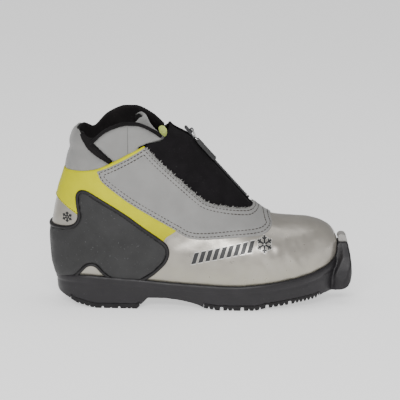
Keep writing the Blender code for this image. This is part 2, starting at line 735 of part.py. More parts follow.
# ========================================================= tongue, lace and covers
def tongue_sheet():
    """Sheet of the tongue: the form's sections, drawn in towards the leg."""
    stations = np.array(SECTIONS[:len(TONGUE_SHARE)], float)
    middle = stations[:, 2:4] + (stations[:, 0:2] - stations[:, 2:4]) * stations[:, 5:6]
    share = np.array(TONGUE_SHARE)[:, None]
    ridge = middle + (stations[:, 0:2] - middle) * share
    half = stations[:, 4] - TONGUE_SIDE_GAP
    rows = smooth_line(np.column_stack([ridge, middle, half]), 1)
    place = np.linspace(0, len(rows) - 1, TONGUE_ROWS)
    table = np.stack([np.interp(place, np.arange(len(rows)), rows[:, k]) for k in range(5)], 1)
    angles = np.linspace(-TONGUE_HALF_ANGLE, TONGUE_HALF_ANGLE, TONGUE_ACROSS)
    grid = []
    for ridge_x, ridge_z, middle_x, middle_z, width in table:
        line = []
        for angle in angles:
            reach = math.cos(angle)
            line.append((middle_x + (ridge_x - middle_x) * reach, width * math.sin(angle),
                         middle_z + (ridge_z - middle_z) * reach))
        grid.append(line)
    grid = np.array(grid)
    outward = np.cross(np.gradient(grid, axis=1), np.gradient(grid, axis=0))
    outward /= np.linalg.norm(outward, axis=2, keepdims=True)
    if outward[TONGUE_ROWS // 4, TONGUE_ACROSS // 2, 0] < 0:
        outward = -outward
    return grid, outward


def make_tongue():
    """Padded tongue, which leans back from the cover at its top."""
    grid, outward = tongue_sheet()
    rows, across = grid.shape[:2]
    faces = []
    for row in range(rows - 1):
        for column in range(across - 1):
            a = row * across + column
            faces += [(a, a + 1, a + across + 1), (a, a + across + 1, a + across)]
    points = grid.reshape(-1, 3)
    direction = outward.reshape(-1, 3)
    first = faces[0]
    normal = np.cross(points[first[1]] - points[first[0]], points[first[2]] - points[first[0]])
    if normal @ direction[first[0]] < 0:
        faces = [face[::-1] for face in faces]
    tip = outline(TONGUE_TIP, ((60, TONGUE_TIP[-1][1]), (60, 60)))
    tongue = clipped((points, direction, faces), within(tip), below(((-90, TONGUE_TOP), (60, TONGUE_TOP))))
    add_shell("tongue", tongue, (-TONGUE_THICKNESS, 0), (MATTE_GREY, 0.8))


def make_tongue_tab():
    """Small pale lime pull tab in front of the tongue's top."""
    shape = [tuple(point) for point in smooth_line(TONGUE_TAB)[:-1]]
    add_prism("tongue_tab", shape, *TONGUE_TAB_Y, (PALE_LIME, 0.7))


def make_lace():
    """Round lace that runs to and fro over the tongue, under the cover."""
    grid, outward = tongue_sheet()
    over = grid + outward * LACE_OVER_TONGUE
    middle = TONGUE_ACROSS // 2
    turns = []
    for turn in range(LACE_TURNS):
        row = LACE_FIRST_ROW + LACE_ROWS_PER_TURN * turn
        low = int(row)
        share = row - low
        line = over[low] * (1 - share) + over[low + 1] * share
        turns.append(line[middle - 3 if turn % 2 == 0 else middle + 3])
        turns.append(line[middle] + (0, 0, LACE_RADIUS / 2))
    route = smooth_line(turns[:-1], 4)
    add_tube("lace", route, LACE_RADIUS, (BLACK, 0.8))


def make_lace_stays(form):
    """Strips inside the throat's edges that hold the lace."""
    for side, place in (("lateral", outer_side(8)), ("medial", inner_side(8))):
        strip = clipped(form, place, without(throat_shape(), LACE_STAY[0]),
                        within(throat_shape(), -LACE_STAY[1]), below(BAND_TOP, LACE_STAY_UNDER_BAND),
                        behind(LACE_STAY_FRONT_X))
        add_shell("lace_stay_" + side, strip, STIFFENER, (BLACK, 0.8))


def make_covers(form):
    """Black stretch covers over the lace and the zip tapes between them."""
    opening = (within(throat_shape(), GAP - HIDDEN_LAP), within(cover_shape(), GAP / 2),
               without(wing_shape(), GAP / 2))
    sides = (("lateral", outer_side), ("medial", inner_side))
    for side, place in sides:
        cover = clipped(form, place(TAPE_HALF_WIDTH + GAP), *opening)
        add_shell("zip_cover_" + side, cover, COVER, (BLACK, 0.6))
        low, high = TEETH_S[0] - 3, TEETH_S[1] + 2
        tape = clipped(form, place(GAP / 2), near_middle(TAPE_HALF_WIDTH), along_zip(low),
                       along_zip(high, -1))
        add_shell("zip_tape_" + side, tape, COVER, (BLACK, 0.8))


# ============================================================================ zip
def zip_axes():
    """Unit vectors of s (down the zip) and v (out from the boot), as (x, z)."""
    run = np.array(ZIP_END) - np.array(ZIP_START)
    down = run / np.linalg.norm(run)
    return down, np.array((-down[1], down[0]))


def along_zip(limit, sign=1):
    """Field: distance past a place s on the zip, or short of it; only near the ridge."""
    down, _ = zip_axes()
    def field(points):
        s = (points[:, [0, 2]] - np.array(ZIP_START)) @ down
        near = points[:, 2] > 60
        return np.where(near, sign * (s - limit), -50.0)
    return field


def zip_point(s, v, y):
    """A point in the boot's frame from its place on the zip."""
    down, out = zip_axes()
    x, z = np.array(ZIP_START) + s * down + v * out
    return (x, y, z)


def zip_prism(name, shape, low, high, look=None):
    """A prism across the boot whose outline is given as (s, v)."""
    flat = [zip_point(s, v, 0) for s, v in shape]
    return add_prism(name, [(x, z) for x, _, z in flat], low, high, look)


def teeth_shape():
    """Side outline of a row of teeth: a base strip with a tooth every pitch."""
    start, end = TEETH_S
    pitch = (end - start) / TEETH_COUNT
    shape = [(end, 0.0), (start, 0.0)]
    for tooth in range(TEETH_COUNT):
        left = start + tooth * pitch
        shape += [(left, TEETH_TOP), (left + 0.62 * pitch, TEETH_TOP), (left + 0.62 * pitch, 0.7),
                  (left + pitch, 0.7)]
    return shape


def make_zip():
    """Teeth, stops, slider, bail and grip."""
    look = (BLACK, 0.35)
    for side, sign in (("lateral", -1), ("medial", 1)):
        edges = sorted((sign * GAP / 2, sign * TEETH_HALF_WIDTH))
        zip_prism("zip_teeth_" + side, teeth_shape(), *edges, look)
        top = TEETH_S[0] - GAP
        zip_prism("zip_top_stop_" + side, [(top - 1.6, 0), (top, 0), (top, 1.2), (top - 1.6, 1.2)],
                  *edges, (STEEL, 0.3, 1.0))
    low = TEETH_S[1] + GAP
    zip_prism("zip_bottom_stop", [(low, 0), (low + 2, 0), (low + 2, TEETH_TOP), (low, TEETH_TOP)],
              -TEETH_HALF_WIDTH, TEETH_HALF_WIDTH, (STEEL, 0.3, 1.0))
    slider = make_slider()
    bail = make_bail()
    grip = make_grip()
    set_parent(bail, slider)
    set_parent(grip, bail)


def set_origin(piece, place):
    """Move a piece's origin to a place without moving its mesh."""
    offset = np.array(place) * MM - np.array(piece.location)
    piece.location = np.array(place) * MM
    if piece.type == "CURVE":
        for knot in piece.data.splines[0].points:
            knot.co = (*(np.array(knot.co[:3]) - offset), 1)
        return
    for corner in piece.data.vertices:
        corner.co = np.array(corner.co) - offset


def set_parent(piece, parent):
    """Parent a piece and keep its place in the world."""
    world = np.array(piece.location)
    piece.parent = parent
    above_parent = np.array(parent.location)
    if parent.parent:
        above_parent = above_parent + np.array(parent.parent.location)
    piece.location = world - above_parent


def make_slider():
    """Slider that straddles the teeth, with a crown for the bail."""
    start, end = SLIDER_S
    outer = [(start, 0.3), (start, 1.6), (start + 1.2, SLIDER_TOP), (end, SLIDER_TOP), (end, 0.3)]
    body = zip_prism("zip_slider", outer, -SLIDER_HALF_WIDTH, SLIDER_HALF_WIDTH, (STEEL, 0.3, 1.0))
    roof = TEETH_TOP + 0.4
    tunnel = zip_prism("slider_tunnel", [(start - 2, -1), (end + 2, -1), (end + 2, roof), (start - 2, roof)],
                       -TEETH_HALF_WIDTH - 0.4, TEETH_HALF_WIDTH + 0.4)
    combine(body, tunnel, "DIFFERENCE")
    crown = [(-2.0, SLIDER_TOP - 0.5), (-1.5, CROWN_V + 0.9), (-0.7, CROWN_V + 1.4), (0.7, CROWN_V + 1.4),
             (1.5, CROWN_V + 0.9), (2.0, SLIDER_TOP - 0.5)]
    crown = zip_prism("slider_crown", [(CROWN_S + s, v) for s, v in crown], -1.2, 1.2)
    combine(body, crown, "UNION")
    eye = add_rod("crown_eye", zip_point(CROWN_S, CROWN_V, -6), zip_point(CROWN_S, CROWN_V, 6),
                  BAIL_RADIUS + 0.3)
    combine(body, eye, "DIFFERENCE")
    set_origin(body, zip_point((start + end) / 2, 0, 0))
    return body


def make_bail():
    """Wire ring between the slider's crown and the grip."""
    near, far = GRIP_Y - 2.6, GRIP_Y + 2.6
    corners = [(CROWN_S, CROWN_V, 2.3), (CROWN_S, CROWN_V, -2.3), (GRIP_S - 0.9, GRIP_V, near),
               (GRIP_S, GRIP_V, near + 0.6), (GRIP_S, GRIP_V, far - 0.6), (GRIP_S - 0.9, GRIP_V, far),
               (2.0, 3.2, 1.7)]
    ring = [zip_point(*corner) for corner in corners]
    bail = add_tube("zip_bail", ring, BAIL_RADIUS, (STEEL, 0.2, 1.0), closed=True)
    set_origin(bail, zip_point(CROWN_S, CROWN_V, 0))
    return bail


def make_grip():
    """Flat black grip with a rounded end, hung on the bail."""
    low, high = GRIP_V_RANGE
    end = GRIP_S + GRIP_LENGTH - 1.4
    shape = [(GRIP_S - 1.4, GRIP_V - 0.5), (GRIP_S - 0.6, GRIP_V - 1.3), (GRIP_S + 2.4, low),
             (end - 0.8, low), (end, low + 0.8), (end, high - 0.8), (end - 0.8, high),
             (GRIP_S - 0.2, high), (GRIP_S - 1.4, GRIP_V + 0.6)]
    grip = zip_prism("pull_grip", shape, GRIP_Y - GRIP_WIDTH / 2, GRIP_Y + GRIP_WIDTH / 2, (BLACK, 0.6))
    eye = add_rod("grip_eye", zip_point(GRIP_S, GRIP_V, GRIP_Y - 6), zip_point(GRIP_S, GRIP_V, GRIP_Y + 6),
                  BAIL_RADIUS + 0.3, sides=10)
    combine(grip, eye, "DIFFERENCE")
    for side, sign in (("lateral", -1), ("medial", 1)):
        edges = sorted((GRIP_Y + sign * 1.5, GRIP_Y + sign * 6))
        notch = zip_prism("grip_notch_" + side, [(GRIP_S - 4, -3), (GRIP_S + 1.3, -3), (GRIP_S + 1.3, 8),
                                                 (GRIP_S - 4, 8)], *edges)
        combine(grip, notch, "DIFFERENCE")
    set_origin(grip, zip_point(GRIP_S, GRIP_V, GRIP_Y))
    return grip


# =========================================================================== sole
def sole_loft(form):
    """Cutter: everything inside the sole's side walls, whatever its height."""
    loop = rim_loop(clipped(form, below(FEATHER)))[:, :2]
    length = np.concatenate([[0], np.cumsum(np.linalg.norm(np.roll(loop, -1, axis=0) - loop, axis=1))])
    places = np.linspace(0, length[-1], 60, endpoint=False)
    closed = np.concatenate([loop, loop[:1]])
    loop = np.stack([np.interp(places, length, closed[:, axis]) for axis in (0, 1)], 1)
    for _ in range(2):
        loop = 0.5 * loop + 0.25 * (np.roll(loop, 1, axis=0) + np.roll(loop, -1, axis=0))
    along = np.roll(loop, -1, axis=0) - np.roll(loop, 1, axis=0)
    outward = np.stack([along[:, 1], -along[:, 0]], 1) / np.linalg.norm(along, axis=1, keepdims=True)
    middle = loop.mean(0)
    if ((loop - middle) * outward).sum() < 0:
        outward = -outward
    feather = height_of(FEATHER, loop[:, 0])
    points = []
    for offset, drop in SOLE_SIDE:
        ring = loop + outward * offset
        points += [(x, y, z + drop) for (x, y), z in zip(ring, feather)]
    count = len(loop)
    faces = [tuple(range(count)), tuple(range(len(points) - 1, len(points) - 1 - count, -1))]
    for level in range(len(SOLE_SIDE) - 1):
        for here in range(count):
            after = (here + 1) % count
            a, b = level * count + here, level * count + after
            faces.append((b, a, a + count, b + count))
    return points, faces


def add_loft_cutter(name, loft):
    cutter = add_piece(name, *loft, smooth=False)
    turn_outward(cutter)
    return as_cutter(cutter)


def bottom_line(start, end, raised=0.0):
    """The sole's underside between two places, as (x, z) points."""
    line = np.array(SOLE_BOTTOM, float)
    inner = [(x, z + raised) for x, z in line if start < x < end]
    ends = [(x, np.interp(x, line[:, 0], line[:, 1]) + raised) for x in (start, end)]
    return [ends[0]] + inner + [ends[1]]


def underside_with_rebates():
    """Underside of the outsole, stepped up where the two treads are let in."""
    line = []
    start = SOLE_BOTTOM[0][0] - 8
    for low, high in (HEEL_TREAD_X, FOREFOOT_TREAD_X):
        line += bottom_line(start, low - GAP)
        line += bottom_line(low - GAP, high + GAP, TREAD_THICKNESS + GAP)
        start = high + GAP
    return line + bottom_line(start, SOLE_BOTTOM[-1][0])


def make_outsole(form):
    """Moulded sole that cups the upper, with the binding block at the toe."""
    loft = sole_loft(form)
    top = [tuple(point) for point in smooth_line(FEATHER, 2)][::-1]
    profile = underside_with_rebates() + [(132, 14)] + top
    sole = add_prism("outsole", profile, -70, 70, (SOLE_BLACK, 0.6))
    combine(sole, add_loft_cutter("sole_wall", loft), "INTERSECT")
    block = add_prism("block_body", TOE_BLOCK, -60, 60)
    combine(block, block_plan(), "INTERSECT")
    sides = [(TOE_BLOCK_Y + half, z) for z, half in TOE_BLOCK_TAPER]
    sides += [(TOE_BLOCK_Y - half, z) for z, half in TOE_BLOCK_TAPER[::-1]]
    combine(block, add_prism("block_sides", sides, 100, 150, axis="x"), "INTERSECT")
    combine(sole, block, "UNION")
    points, outward, faces = form
    room = add_piece("upper_room", *capped(points + outward * UPPER_CLEARANCE, faces), smooth=False)
    turn_outward(room)
    combine(sole, room, "DIFFERENCE")
    combine(sole, box_piece("pin_slot", PIN_SLOT_X, (TOE_BLOCK_Y - PIN_SLOT_HALF_WIDTH,
                                                     TOE_BLOCK_Y + PIN_SLOT_HALF_WIDTH),
                            (0, PIN_SLOT_TOP)), "DIFFERENCE")
    reach = PIN_HALF_LENGTH + GAP
    bore = add_rod("pin_bore", (PIN_X, TOE_BLOCK_Y - reach, PIN_Z), (PIN_X, TOE_BLOCK_Y + reach, PIN_Z),
                   PIN_RADIUS + GAP, sides=14)
    combine(sole, bore, "DIFFERENCE")
    make_treads(loft)


def capped(points, faces):
    """Close the form's open top with a flat face."""
    edges = dict(rim_edges(faces))
    start = min(edges)
    loop = [start]
    while edges[loop[-1]] != start:
        loop.append(edges[loop[-1]])
    return points, list(faces) + [tuple(loop[::-1])]


def block_plan():
    """Plan of the toe block: straight sides and round front corners."""
    front = max(x for x, _ in TOE_BLOCK) + 0.5
    half, corner = TOE_BLOCK_HALF_WIDTH, TOE_BLOCK_CORNER
    shape = [(106, TOE_BLOCK_Y - half)]
    for sign, turns in ((-1, range(0, 5)), (1, range(4, -1, -1))):
        for turn in turns:
            angle = math.radians(22.5 * turn)
            shape.append((front - corner + corner * math.sin(angle),
                          TOE_BLOCK_Y + sign * (half - corner + corner * math.cos(angle))))
    shape.append((106, TOE_BLOCK_Y + half))
    return add_prism("block_plan", shape, 0, 80, axis="z")


def slotted(line, slots, slot):
    """A tread's underside with a square slot at each place."""
    width, depth = slot
    flat = np.array(line)
    places = [(x, z) for x, z in line if all(abs(x - middle) > width / 2 for middle in slots)]
    for middle in slots:
        left, right = middle - width / 2, middle + width / 2
        low = [np.interp(x, flat[:, 0], flat[:, 1]) for x in (left, right)]
        roof = min(low) + depth
        places += [(left, low[0]), (left + 0.01, roof), (right - 0.01, roof), (right, low[1])]
    return sorted(places)


def make_treads(loft):
    """Rubber treads let into the sole under the heel and the forefoot."""
    treads = (("heel_tread", HEEL_TREAD_X, HEEL_SLOTS_X, HEEL_SLOT),
              ("forefoot_tread", FOREFOOT_TREAD_X, FOREFOOT_SLOTS_X, FOREFOOT_SLOT))
    for name, (start, end), slots, slot in treads:
        line = bottom_line(start, end)
        roof = bottom_line(start, end, TREAD_THICKNESS)
        tread = add_prism(name, slotted(line, slots, slot) + roof[::-1], -70, 70, (SOLE_BLACK, 0.8))
        combine(tread, add_loft_cutter(name + "_wall", loft), "INTERSECT")


def make_toe_parts():
    """Grey nub on the toe block, and the steel pin that the binding grips."""
    add_prism("toe_nub", TOE_NUB, TOE_BLOCK_Y - TOE_NUB_HALF_WIDTH, TOE_BLOCK_Y + TOE_NUB_HALF_WIDTH,
              (NUB_GREY, 0.5))
    add_rod("binding_pin", (PIN_X, TOE_BLOCK_Y - PIN_HALF_LENGTH, PIN_Z),
            (PIN_X, TOE_BLOCK_Y + PIN_HALF_LENGTH, PIN_Z), PIN_RADIUS, (STEEL, 0.25, 1.0), sides=14)


def main():
    for old in list(bpy.data.objects):
        bpy.data.objects.remove(old, do_unlink=True)
    grid = form_grid()
    form = sheet_of(grid, outward_of(grid))
    make_vamp(form)
    make_heel_quarter(form)
    make_side_band(form)
    make_throat_overlay(form)
    make_heel_counter(form)
    make_rear_collar(form)
    make_collar_sides(form)
    make_lining(form)
    make_stiffeners(form)
    make_bottom(form)
    make_tongue()
    make_tongue_tab()
    make_lace()
    make_lace_stays(form)
    make_covers(form)
    make_zip()
    make_outsole(form)
    make_toe_parts()


main()
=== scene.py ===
"""Cross country ski boot for a right foot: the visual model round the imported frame.

Lengths are in millimetres until make_object() turns them into metres. +X points to
the toe, +Y to the inner (medial) side, +Z up. Every panel of the upper is cut from
one fine sheet that follows the foot-shaped form of the solids.
"""
import json
import math
import random

import bmesh
import bpy
import numpy as np
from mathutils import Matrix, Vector, noise
from mathutils.bvhtree import BVHTree

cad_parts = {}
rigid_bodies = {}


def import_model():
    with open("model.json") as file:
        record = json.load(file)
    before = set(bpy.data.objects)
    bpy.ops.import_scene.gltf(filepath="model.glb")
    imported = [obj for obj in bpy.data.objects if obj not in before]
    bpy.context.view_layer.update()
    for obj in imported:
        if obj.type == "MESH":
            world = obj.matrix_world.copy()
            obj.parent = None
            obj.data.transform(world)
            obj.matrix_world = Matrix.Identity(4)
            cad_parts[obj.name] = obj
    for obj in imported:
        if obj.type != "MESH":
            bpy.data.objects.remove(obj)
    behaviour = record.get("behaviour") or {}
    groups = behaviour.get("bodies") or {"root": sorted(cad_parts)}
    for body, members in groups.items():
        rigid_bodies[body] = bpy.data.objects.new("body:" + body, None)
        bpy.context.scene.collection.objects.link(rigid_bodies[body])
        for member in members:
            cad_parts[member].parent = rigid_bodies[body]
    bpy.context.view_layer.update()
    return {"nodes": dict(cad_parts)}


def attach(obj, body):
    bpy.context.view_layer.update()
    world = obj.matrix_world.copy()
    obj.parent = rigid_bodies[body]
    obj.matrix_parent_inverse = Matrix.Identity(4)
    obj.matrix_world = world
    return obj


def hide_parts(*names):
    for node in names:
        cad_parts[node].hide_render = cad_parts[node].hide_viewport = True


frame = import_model()

MM = 0.001
# ---------------------------------------------------------------- the form
# One row per section, from the collar down to the heel and on to the toe:
# ridge x, z, back or base x, z, half width, share of the chord at which the
# section is widest, power of its upper and lower half, and y of its middle.
SECTIONS = (
    (-30, 175, -109, 173, 40.5, 0.48, 2.1, 2.2, 0.0),
    (-24, 163, -115, 159, 39.0, 0.48, 2.1, 2.2, 0.0),
    (-9, 154.3, -118.5, 145, 37.5, 0.48, 2.2, 2.3, 0.0),
    (1, 143.2, -119.5, 133, 37.0, 0.48, 2.2, 2.4, 0.0),
    (10, 133.2, -123.5, 120, 36.0, 0.47, 2.3, 2.5, 0.0),
    (18.5, 123.8, -128.5, 104, 35.0, 0.46, 2.4, 2.6, 0.0),
    (25, 116.6, -132.5, 87, 34.5, 0.45, 2.4, 2.7, 0.0),
    (30, 111.1, -135, 70, 34.5, 0.44, 2.4, 2.8, 0.0),
    (34, 106.6, -134.5, 52, 35.0, 0.43, 2.4, 2.9, 0.0),
    (38, 102.2, -132.5, 36, 35.5, 0.42, 2.4, 3.0, 0.0),
    (41.8, 98, -126, 24.5, 36.0, 0.42, 2.4, 3.1, 0.0),
    (45.2, 94.2, -95, 20.5, 37.0, 0.41, 2.4, 3.3, 0.0),
    (48.9, 90.4, -60, 18.5, 39.0, 0.40, 2.4, 3.4, 0.0),
    (53.4, 86.6, -25, 16, 41.5, 0.38, 2.4, 3.5, 0.0),
    (59, 82.8, 5, 14.5, 44.5, 0.38, 2.3, 3.5, 0.5),
    (66, 79.4, 32, 14, 46.5, 0.38, 2.3, 3.5, 1.0),
    (76, 77.8, 56, 15.5, 46.0, 0.38, 2.3, 3.5, 2.0),
    (88, 77, 78, 18.5, 43.0, 0.39, 2.3, 3.4, 3.0),
    (99, 76, 96, 22.5, 38.5, 0.40, 2.3, 3.2, 3.5),
    (109, 73.5, 109, 27, 32.0, 0.42, 2.3, 3.0, 4.0),
    (117, 69.5, 117.5, 32.5, 24.5, 0.45, 2.3, 2.7, 4.0),
    (122, 64, 122, 38, 17.0, 0.48, 2.2, 2.4, 4.0),
    (124.8, 58, 124.6, 44.5, 9.0, 0.50, 2.1, 2.2, 4.0),
    (125.8, 51.5, 125.8, 51.5, 0.0, 0.50, 2.0, 2.0, 4.0),
)
ROWS = 250
AROUND = 220
INNER_WING_LIFT = 3.3

# Space between neighbouring pieces.
GAP = 0.3
# Inner face of the panels that lie on the skin, and the depth of the overlay's stitch rows.
PANEL_FOOT = -0.4
STITCH_DEPTHS = (2.1, 5.2)
# The collar's pads: inner face, and the cloth's pressure and length in frames.
PAD_INSIDE = -3.1
PAD_PRESSURE = 2.5
PAD_FRAMES = 18

# ----------------------------------------- lines in the side view, as (x, z)
FEATHER = ((-145, 29.5), (-104, 29.9), (-82, 28.6), (-55, 26.9), (-36, 25.1), (-18, 24),
           (0, 23), (22, 21.9), (36, 22), (49, 23), (68, 25), (86, 27.9), (95, 29.9),
           (104, 32.6), (111.5, 35.4), (118, 38.1), (124, 43), (132, 50))
BAND_TOP = ((-145, 125.5), (-120, 125.5), (-107, 125.7), (-94, 127.8), (-82, 132.9),
            (-67, 140.9), (-47, 151.2))
OVERLAY_CORNER = (-92.5, 126.3)
OVERLAY_TOP = (OVERLAY_CORNER, (-80, 131.6), (-62.5, 140.7), (-49.2, 148.8))
OVERLAY_REAR = (OVERLAY_CORNER, (-88.6, 117.3), (-78, 107.8), (-58.5, 93.5), (-21.6, 71.5))
OVERLAY_LOWER = ((-21.6, 71.5), (-10.7, 65.6), (4.6, 64.2), (31.7, 66.2), (53.8, 67.8),
                 (62.5, 71.8), (65, 76.5), (62.9, 81.4), (60, 90))
THROAT = ((-49.2, 148.8), (-33.4, 132), (-12.2, 111.7), (-0.3, 100.8), (7.2, 95.8),
          (23.3, 91.2), (40.8, 89.0), (46.5, 89.6), (48.3, 91.8), (47, 96))
COVER_TOP = ((-49.2, 148.8), (-46.6, 151), (-40, 152.8), (-34.8, 154), (-31.6, 156.4),
             (-28.4, 160), (-26.6, 164), (-24, 166), (-10, 165.5))
BAND_END = ((-21.6, 71.5), (-26.6, 68.2), (-30.6, 65.4), (-33.3, 61))
COUNTER_TOP = ((-33.3, 61), (-53.7, 75.6), (-71.3, 88.3), (-94, 102.3), (-100.9, 106.4),
               (-105.2, 107.3), (-108.4, 106), (-109.9, 102.5), (-109.5, 95), (-108.1, 86.5))
COUNTER_FRONT = ((-33.3, 61), (-30.3, 57.6), (-29, 51.5), (-31.4, 44.6), (-36.6, 38.8), (-44, 32.4),
                 (-52, 27.6), (-64, 22))
COUNTER_HEEL = ((-108.1, 86.5), (-108.9, 81), (-112, 76.6), (-118, 73.9), (-128, 73.2), (-145, 73))
BAND_HEEL = ((-145, 103.5), (-131, 99.2), (-124.2, 95.1), (-118.9, 91.4), (-108.1, 84), (-99, 78), (-60, 60),
             (-20, 55))
WINDOW = ((-118, 24), (-110.5, 31.4), (-106, 36.2), (-102.6, 39.6), (-97.6, 41.2), (-92.6, 39.2),
          (-88.8, 34.8), (-84.2, 30.8), (-76, 25))
REAR_COLLAR_TOP = ((-145, 161.3), (-116, 161.3), (-111.6, 162.2))
REAR_COLLAR_FRONT = ((-111.6, 162.2), (-109.4, 159.5), (-105.4, 152), (-97.4, 142.8),
                     (-86.3, 136.2), (-80.5, 132.6))
WING_REAR = ((-78, 131), (-79, 135.7), (-84.8, 140.8), (-96.4, 151.5))
WING_TOP = ((-96.4, 151.5), (-84.6, 162), (-71, 167.9), (-62.3, 168.8), (-53.3, 167.6),
            (-40.9, 161.4), (-33, 154.9))
WING_SEAM_X = -64.4
WING_FOOT = ((-33, 154.9), (-40, 153.4), (-46.8, 151.6))
BINDING_FOOT = ((-145, 134), (-87, 134.5), (-76, 137), (-60, 150), (-33, 155.2), (10, 155.2))
GUSSET_TOP = ((-145, 158.4), (-109.2, 158.4), (-104, 157.2), (-99, 154.4), (-90, 152))
GUSSET_X = (-112, -78)
LINING_TOP = ((-145, 160.8), (-112, 160.8), (-106, 157.2), (-101, 154.6), (-96, 155.6), (-88, 161.6),
              (-80, 166), (-70, 169.2), (-62, 169.8), (-52, 168.4), (-44, 165),
              (-36, 158.2), (-31, 152.5), (-20, 148))
# The silver skins: the split between them, how far they keep back under the panels
# above them, and their inner face.
VAMP_SPLIT_X = -62
SKIN_LAP = 3.0
SKIN_INSIDE = -1.5
PIPING_WIDTH = 2.6
# How far the piping runs on below the feather line, behind the sole's rim.
PIPING_FOOT = 0.6
# How far the skins are turned in below the feather line.
TURNED_IN = 6.2
FOOTBED_UP = 2

# --------------------------------------------------------------------- tongue
TONGUE_HALF_ANGLE = 0.95
# How far the tongue's ridge stays out from the leg's middle, row by row of SECTIONS.
TONGUE_SHARE = (0.52, 0.58, 0.56, 0.62, 0.69, 0.75, 0.79, 0.82, 0.84, 0.85, 0.86, 0.87, 0.87, 0.86)
TONGUE_SIDE_GAP = 8.4
TONGUE_TOP = 172.4
TONGUE_TIP = ((-90, 60), (-62, 160), (-57, 168), (-52, 172.4), (-47, 172))
TONGUE_TAB = ((-31.8, 164.8), (-34.6, 165.4), (-37, 163.4), (-36.4, 159.6), (-33, 156),
              (-31, 155.6), (-29.6, 157.6), (-29.8, 161.6), (-31.8, 164.8))
TONGUE_TAB_Y = (-20.6, -19.2)

# ------------------------------------------------------------------- the sole
SOLE_BOTTOM = ((-130, 14.3), (-128, 12.4), (-118, 7.9), (-111, 4.2), (-99, 0.9), (-94, 0),
               (-57, 0), (-47, 10.3), (-32, 10.3), (-18, 8.7), (-9, 6.8), (-1, 4.4), (3, 2.2),
               (15, 0), (50, 0), (58, 2), (79, 4.6), (90, 6.2), (104, 8.4), (112, 11.6))
TREAD_THICKNESS = 4.4
HEEL_TREAD_X = (-117, -54.5)
FOREFOOT_TREAD_X = (3.5, 108)
FOREFOOT_SLOTS_X = (19.5, 38, 60.5, 81)
FOREFOOT_SLOT = (3.2, 3.2)
HEEL_SLOTS_X = (-88, -73)
HEEL_SLOT = (2.3, 1.8)
HEEL_NOTCHES_X = (-109, -104.5, -100, -95.5, -80.5, -66, -62)
HEEL_NOTCH = (1.8, 1.0)
FOREFOOT_NOTCHES_X = (8, 12.5, 25, 29.5, 44, 49, 54, 66, 71, 76, 86, 89.5, 93, 96.5, 100, 103.5, 106.6)
FOREFOOT_NOTCH = (2.3, 2.2)
TOE_BLOCK = ((108, 13), (118, 12.2), (127, 13.1), (131.4, 14), (135, 16.2), (137.4, 20.5),
             (138.5, 27.5), (138, 36), (136.8, 45), (135, 53.4), (133.6, 55.2), (127, 55.2), (108, 46))
TOE_BLOCK_Y = 4.0
TOE_BLOCK_HALF_WIDTH = 22.5
TOE_BLOCK_CORNER = 9.0
# The block's half width at each height: it narrows towards the nub.
TOE_BLOCK_TAPER = ((0, 22.5), (20, 22.5), (31, 20.4), (42, 16.6), (51, 12.0), (57, 9.6))
TOE_NUB = ((126.2, 54.9), (133.7, 54.9), (134.0, 57.0), (133.4, 59.4), (131.9, 61.3), (129.6, 62.0),
           (127.4, 61.7), (125.9, 60.6), (125.4, 58.8), (126.0, 56.8))
TOE_NUB_HALF_WIDTH = 8.0
PIN_X = 124.0
PIN_Z = 17.5
PIN_RADIUS = 2.0
PIN_HALF_LENGTH = 19.0
PIN_SLOT_X = (116.5, 131.5)
PIN_SLOT_TOP = 26.5
PIN_SLOT_HALF_WIDTH = 14.0

# -------------------------------------------------------------------- the zip
# The zip lies on the straight part of the ridge. s runs down along it from
# ZIP_START, v stands out from the boot, and y is the boot's own y.
ZIP_START = (-9.0, 154.3)
ZIP_END = (41.8, 98.0)
TAPE_HALF_WIDTH = 4.4
TEETH_TOP = 1.3
TEETH_S = (-5.5, 77.0)
TEETH_PITCH = 1.9
SLIDER_S = (-8.2, 0.6)
SLIDER_HALF_WIDTH = 4.0
SLIDER_TOP = 2.4
CROWN_S = -1.6
CROWN_V = 4.0
BAIL_RADIUS = 0.55
GRIP_S = 7.6
GRIP_V = 2.0
GRIP_Y = -5.5
GRIP_LENGTH = 25.7
GRIP_WIDTH = 5.2
GRIP_V_RANGE = (0.15, 3.9)


# =========================================================== curves and fields
def hermite(u, start, slope, end, end_slope):
    """The place at share u of a span, from the values and slopes at its ends."""
    return ((2 * u**3 - 3 * u**2 + 1) * start + (u**3 - 2 * u**2 + u) * slope
            + (3 * u**2 - 2 * u**3) * end + (u**3 - u**2) * end_slope)


def smooth_line(points, steps=6):
    """A Catmull-Rom curve through points, as a line with steps parts a span."""
    points = np.array(points, float)
    if len(points) < 3:
        return points
    slopes = np.gradient(points, axis=0)
    line = []
    for start in range(len(points) - 1):
        ends = points[start], slopes[start], points[start + 1], slopes[start + 1]
        line += [hermite(u, *ends) for u in np.arange(steps) / steps]
    line.append(points[-1])
    return np.array(line)


def outline(*strokes):
    """A closed outline of smooth strokes that meet at corners."""
    return np.concatenate([smooth_line(stroke) for stroke in strokes])


def height_of(line, x):
    """Height z of a line given as (x, z) points, at each x."""
    points = smooth_line(line)
    return np.interp(x, points[:, 0], points[:, 1])


